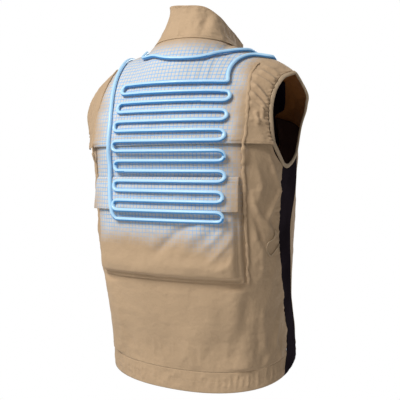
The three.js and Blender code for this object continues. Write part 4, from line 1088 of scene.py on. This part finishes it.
def make_welts():
    foot = WELT_LINE[0, 0]
    top = WELT_LINE[-1, 0]
    for side, word in SIDES:
        height = np.linspace(foot, top, 300)
        turn = turn_at(side * CHEST_HALF_WIDTH * along(WELT_LINE, 1, height), height)
        point, normal = laid_on(turn, height, 2.6)
        wobble = noise(point, 8, 51) * 1.3 + noise(point, 20, 52) * 0.9
        size = 1 + 0.4 * noise(point, 6, 53)
        point = point + wobble[:, None] * unit(np.cross(normal, [0, 0, 1.0]))
        run_out = smooth((top - height) / 0.05)
        point = point - normal * (1.3 + 1.0 * (1 - run_out))[:, None]
        wide = lerp(1.6, 3.2, run_out) * size
        obj = strand("back_welt_cloth_" + word, point, normal, wide, 0.55 * wide, 10)
        finish_piece(obj, khaki, "cloth", "back_welt_" + word)


def laid_on(turn, height, half_height, even=0):
    """Points and normals of a strand that lies on the layers and spans their steps at a limited slope."""
    point = surface(turn, height)
    normal = evened(facing(turn, height), even)
    beside = smooth((NECK_CLEAR_X + 10 - np.abs(point[:, 0])) / 20)
    clearance = lerp(SHOULDER_CLEAR, NECK_CLEAR, beside) * smooth((height - 0.78) / 0.06)
    own = top_of_layers(turn, height, 12) + clearance
    lift = np.zeros(len(point))
    for i in range(len(point)):
        lift[i] = max(0, np.max(own - TUBE_SLOPE * np.linalg.norm(point - point[i], axis=1)))
    way = normal.copy()
    way[:, 0] *= lerp(1, LIFT_SIDEWAYS, smooth((lift - 2) / 8))
    way = unit(way)
    stretch = (lift + TUBE_GAP + half_height) / np.sum(way * normal, 1)
    return point + way * stretch[:, None], normal


def make_collar():
    end = COLLAR_TOP[-1, 0] * DEG
    f, r = grid((-1, 1), (0, 1), 170, 46)
    around = f * end
    is_front = np.cos(around) < 0
    x = NECK_HALF_WIDTH * np.sin(around)
    outward = np.stack([np.sin(around), -np.cos(around), 0 * around], -1)

    def layer(out, rough):
        foot = np.stack([x, top_y(x, is_front), 0 * x], -1) + outward * (out + 0.6)
        heights = [top_z(at, is_front) for at in (x, foot[..., 0], foot[..., 0] + np.sign(x))]
        foot[..., 2] = np.max(heights, 0) + COLLAR_SEAM_RISE - 1.2
        share = np.stack([along(COLLAR_TOP, k, around / DEG) for k in (1, 2, 3)], -1)
        top = share * [NECK_HALF_WIDTH, NECK_HALF_WIDTH, COLLAR_HEIGHT] + outward * out
        inwards = 1 - (1 - r) ** COLLAR_FLARE
        point = foot + (top - foot) * np.stack([inwards, inwards, r], -1)
        return point + outward * rough[..., None]

    smooth_face = layer(0, 0 * r)
    degrees = np.degrees(around)
    fallen = np.exp(-(((degrees - 52) / 16) ** 2)) * np.sin(math.pi * r)
    crease = np.exp(-(((degrees - 30 - 12 * r) / 5) ** 2)) * np.sin(math.pi * r)
    rough = 2.4 * crumple(smooth_face * [1, 1, 0.6], 30, 61) + 0.9 * crumple(smooth_face, 12, 62)
    rough = (rough + 4 * fallen - 3.5 * crease) * smooth(r / 0.08) * smooth((1 - r) / 0.06)
    outer = layer(COLLAR_CLOTH, rough)
    obj = shell("collar_cloth", outer, layer(0, rough), cloth_uv(smooth_face))
    finish_sheet(obj, smooth_face, khaki, "cloth", "collar")
    for name, row in (("top", 43), ("foot", 4)):
        stitch_row("collar_stitches_" + name, outer[2:-2, row], outward[2:-2, row])


def armhole_loop(side, steps=60):
    back = np.concatenate([[SEAM_TOP_BACK], lerp(YOKE_CORNER, 1, np.linspace(0, 1, steps) ** 0.9)])
    front = lerp(SEAM_TOP_FRONT, 1, np.linspace(0, 0.985, steps))[::-1]
    share = np.linspace(0, 1, 22)[1:-1]
    foot = lerp(seam_front(SEAM_TOP_FRONT), seam_back(SEAM_TOP_BACK), share)
    turn = np.concatenate([armhole_back(back, side), side * armhole_front(front), side * foot])
    height = np.concatenate([back, front, armhole_foot(foot)])
    return turn, height


def make_bindings():
    for side, word in SIDES:
        turn, height = armhole_loop(side)
        point = surface(turn, height)
        normal = facing(turn, height)
        tangent = unit(np.roll(point, -1, 0) - np.roll(point, 1, 0))
        inward = unit(np.cross(tangent, normal) * side)
        centre = point + inward * (BINDING_HALF_WIDTH + LAYER_GAP) - normal * 0.5 * CLOTH
        line = resample(np.concatenate([centre, centre[:1]]), BINDING_STEP)[:-1]
        normals = evened(unit(normal[nearest_to(line, centre)]), 6)
        size = 1 + 0.05 * noise(line, 6, 71)
        wide = BINDING_HALF_WIDTH * size
        high = BINDING_HALF_HEIGHT * size
        name = "armhole_binding_tape_" + word
        obj = strand(name, line, normals, wide, high, BINDING_SIDES, True, BINDING_POWER)
        finish_piece(obj, binding_cloth, "binding", "armhole_binding_" + word)


def locate_over(x, y):
    is_front = y > 0
    low = CLOSING_FRONT if is_front else CLOSING_BACK
    high = 1.0
    for _ in range(30):
        middle = (low + high) / 2
        away = abs(float(surface(turn_at(x, middle, is_front), middle)[1]) - SHOULDER_Y)
        if away > abs(y):
            low = middle
        else:
            high = middle
    return float(turn_at(x, high, is_front)), high


def place_of(point):
    over = point[1] - SHOULDER_Y
    if abs(over) < OVER_REACH:
        return locate_over(point[0], over)
    turn, height = locate(point[0], point[2], over > 0)
    return float(turn), float(height)


def tube_route():
    spots = []
    pitch = (COIL_TOP_Z - COIL_BOTTOM_Z) / (COIL_RUNS - 1)
    bend = pitch / 2
    right = COIL_RIGHT_X - bend

    def left(run):
        return lerp(COIL_LEFT_X, COIL_LEFT_FOOT_X, run / (COIL_RUNS - 1)) + bend

    def run_z(run, x):
        fade = 1 - run / (COIL_RUNS - 1)
        return COIL_TOP_Z - run * pitch - COIL_TILT * fade * (x - COIL_LEFT_X) / (COIL_RIGHT_X - COIL_LEFT_X)

    for run in range(COIL_RUNS):
        leftward = run % 2 == 0
        start, stop = (right, left(run)) if leftward else (left(run), right)
        for x in np.linspace(start, stop, RUN_STEPS):
            spots.append(locate(x, run_z(run, x)))
        if run == COIL_RUNS - 1:
            break
        way = -1 if leftward else 1
        for angle in np.linspace(0, math.pi, BEND_STEPS + 2)[1:-1]:
            z = lerp(run_z(run, stop), run_z(run + 1, stop), 0.5 - 0.5 * math.cos(angle))
            spots.append(locate(stop + way * bend * math.sin(angle), z))
    rows = []
    for across, kind, share in ROUTE:
        if kind == "down":
            turn, height = locate(across * CHEST_HALF_WIDTH, -share * BODY_LENGTH)
        else:
            turn, height = locate_over(across * CHEST_HALF_WIDTH, share * CHEST_HALF_DEPTH)
        rows.append(surface(float(turn), float(height)))
    for point in resample(rows, 5.0):
        spots.append(place_of(point))
    spots = np.array([[float(a), float(b)] for a, b in spots])
    return spots[:, 0], spots[:, 1]


def make_tube():
    turn, height = tube_route()
    point, normal = laid_on(turn, height, TUBE_RADIUS, 5)
    line = resample(np.concatenate([point, point[:1]]), TUBE_STEP)[:-1]
    for _ in range(3):
        line = 0.25 * np.roll(line, 1, 0) + 0.5 * line + 0.25 * np.roll(line, -1, 0)
    nearest = nearest_to(line, point)
    # The way beside the coil is eased once more, and the coil's own bends are left as they are
    beyond_coil = (nearest >= COIL_RUNS * RUN_STEPS + (COIL_RUNS - 1) * BEND_STEPS).astype(float)
    for _ in range(10):
        beyond_coil = (np.roll(beyond_coil, 1) + beyond_coil + np.roll(beyond_coil, -1)) / 3
    easing = 0.5 * np.clip(2 * beyond_coil - 1, 0, 1)[:, None]
    for _ in range(EASING_ROUNDS):
        line = line + easing * (0.5 * (np.roll(line, 1, 0) + np.roll(line, -1, 0)) - line)
    normals = evened(normal[nearest], 4)
    obj = strand("cooling_tube_plastic", line, normals, TUBE_LOOK, TUBE_LOOK, TUBE_SIDES, True, carry=True)
    # The tube's second material is painted shade, put on the faces of its underside that turn downwards
    finish_piece(obj, tube_plastic, "tube", "cooling_tube", inside=tube_shade)
    for face in obj.data.polygons:
        face.material_index = int(face.normal[2] < TUBE_SHADE_FROM)


def make_loop():
    degrees, height = np.array(LOOP_ROUTE).T
    point, normal = laid_on(degrees * DEG, height, CORD_RADIUS)
    line = resample(point, 1.0)
    obj = strand("waist_loop_cord", line, normal[nearest_to(line, point)], CORD_RADIUS, CORD_RADIUS, 10)
    finish_piece(obj, binding_cloth, "cord", "waist_loop")


# Stage, light and camera, in metres
FLOOR_Z = -1.45
FLOOR_SIZE = 60
FILL = 0.26
FILL_COLOR = (1.0, 0.97, 0.94)
WHITE = (1.0, 1.0, 1.0)
# place, target, size, power and colour
KEY_LIGHT = ((-0.8, -2.35, 1.75), (0, -0.1, -0.28), 1.5, 104, (1.0, 0.98, 0.95))
FRONT_LIGHT = ((0.4, 3.0, 0.9), (0, 0, -0.3), 1.6, 50, WHITE)
CAMERA_TURN = 27 * DEG
CAMERA_AWAY = 1.2
CAMERA_Z = -0.25
CAMERA_LENS = 54
CAMERA_SENSOR = 36
CAMERA_SHIFT = (0.01, -0.0625)


def make_stage():
    bpy.ops.mesh.primitive_plane_add(size=FLOOR_SIZE, location=(0, 0, FLOOR_Z))
    floor = bpy.context.object
    floor.name = "floor"
    material, make, shader = new_material("floor", 0.9, Base_Color=(0.8, 0.8, 0.8))
    seen = make.add("ShaderNodeLightPath").outputs["Is Camera Ray"]
    glow = make.add("ShaderNodeEmission").outputs[0]
    shown = make.add("ShaderNodeMixShader", {"Fac": seen, 1: shader.outputs[0], 2: glow})
    make.fill(make.nodes["Material Output"].inputs["Surface"], shown.outputs[0])
    floor.data.materials.append(material)


def area_light(name, location, target, size, power, color):
    data = bpy.data.lights.new(name, "AREA")
    data.shape = "DISK"
    data.size = size
    data.energy = power
    data.color = color
    obj = bpy.data.objects.new(name, data)
    bpy.context.scene.collection.objects.link(obj)
    obj.location = location
    way = np.array(target) - np.array(location)
    tilt = math.acos(-way[2] / np.linalg.norm(way))
    turn = math.atan2(way[1], way[0]) - math.pi / 2
    obj.rotation_euler = (tilt, 0, turn)


def make_light():
    world = bpy.data.worlds.new("studio")
    bpy.context.scene.world = world
    make = Nodes(world)
    make.nodes.clear()
    seen = make.add("ShaderNodeLightPath").outputs["Is Camera Ray"]
    fill = make.add("ShaderNodeBackground", {"Color": FILL_COLOR, "Strength": FILL}).outputs[0]
    white = make.add("ShaderNodeBackground", {"Color": WHITE, "Strength": 1.0}).outputs[0]
    shown = make.add("ShaderNodeMixShader", {"Fac": seen, 1: fill, 2: white}).outputs[0]
    make.add("ShaderNodeOutputWorld", {"Surface": shown})
    area_light("key", *KEY_LIGHT)
    area_light("front_fill", *FRONT_LIGHT)


def make_camera():
    data = bpy.data.cameras.new("camera")
    data.lens = CAMERA_LENS
    data.sensor_width = CAMERA_SENSOR
    data.shift_x, data.shift_y = CAMERA_SHIFT
    data.clip_end = 100
    camera = bpy.data.objects.new("camera", data)
    bpy.context.scene.collection.objects.link(camera)
    camera.location = (CAMERA_AWAY * math.sin(CAMERA_TURN), -CAMERA_AWAY * math.cos(CAMERA_TURN), CAMERA_Z)
    camera.rotation_euler = (math.pi / 2, 0, CAMERA_TURN)
    bpy.context.scene.camera = camera


make_camera()
bpy.context.scene.view_settings.view_transform = "Standard"
make_stage()
make_light()
make_back()
make_yoke()
make_pocket()
make_sides()
make_fronts()
make_hems()
make_welts()
make_collar()
make_bindings()
make_tube()
make_loop()
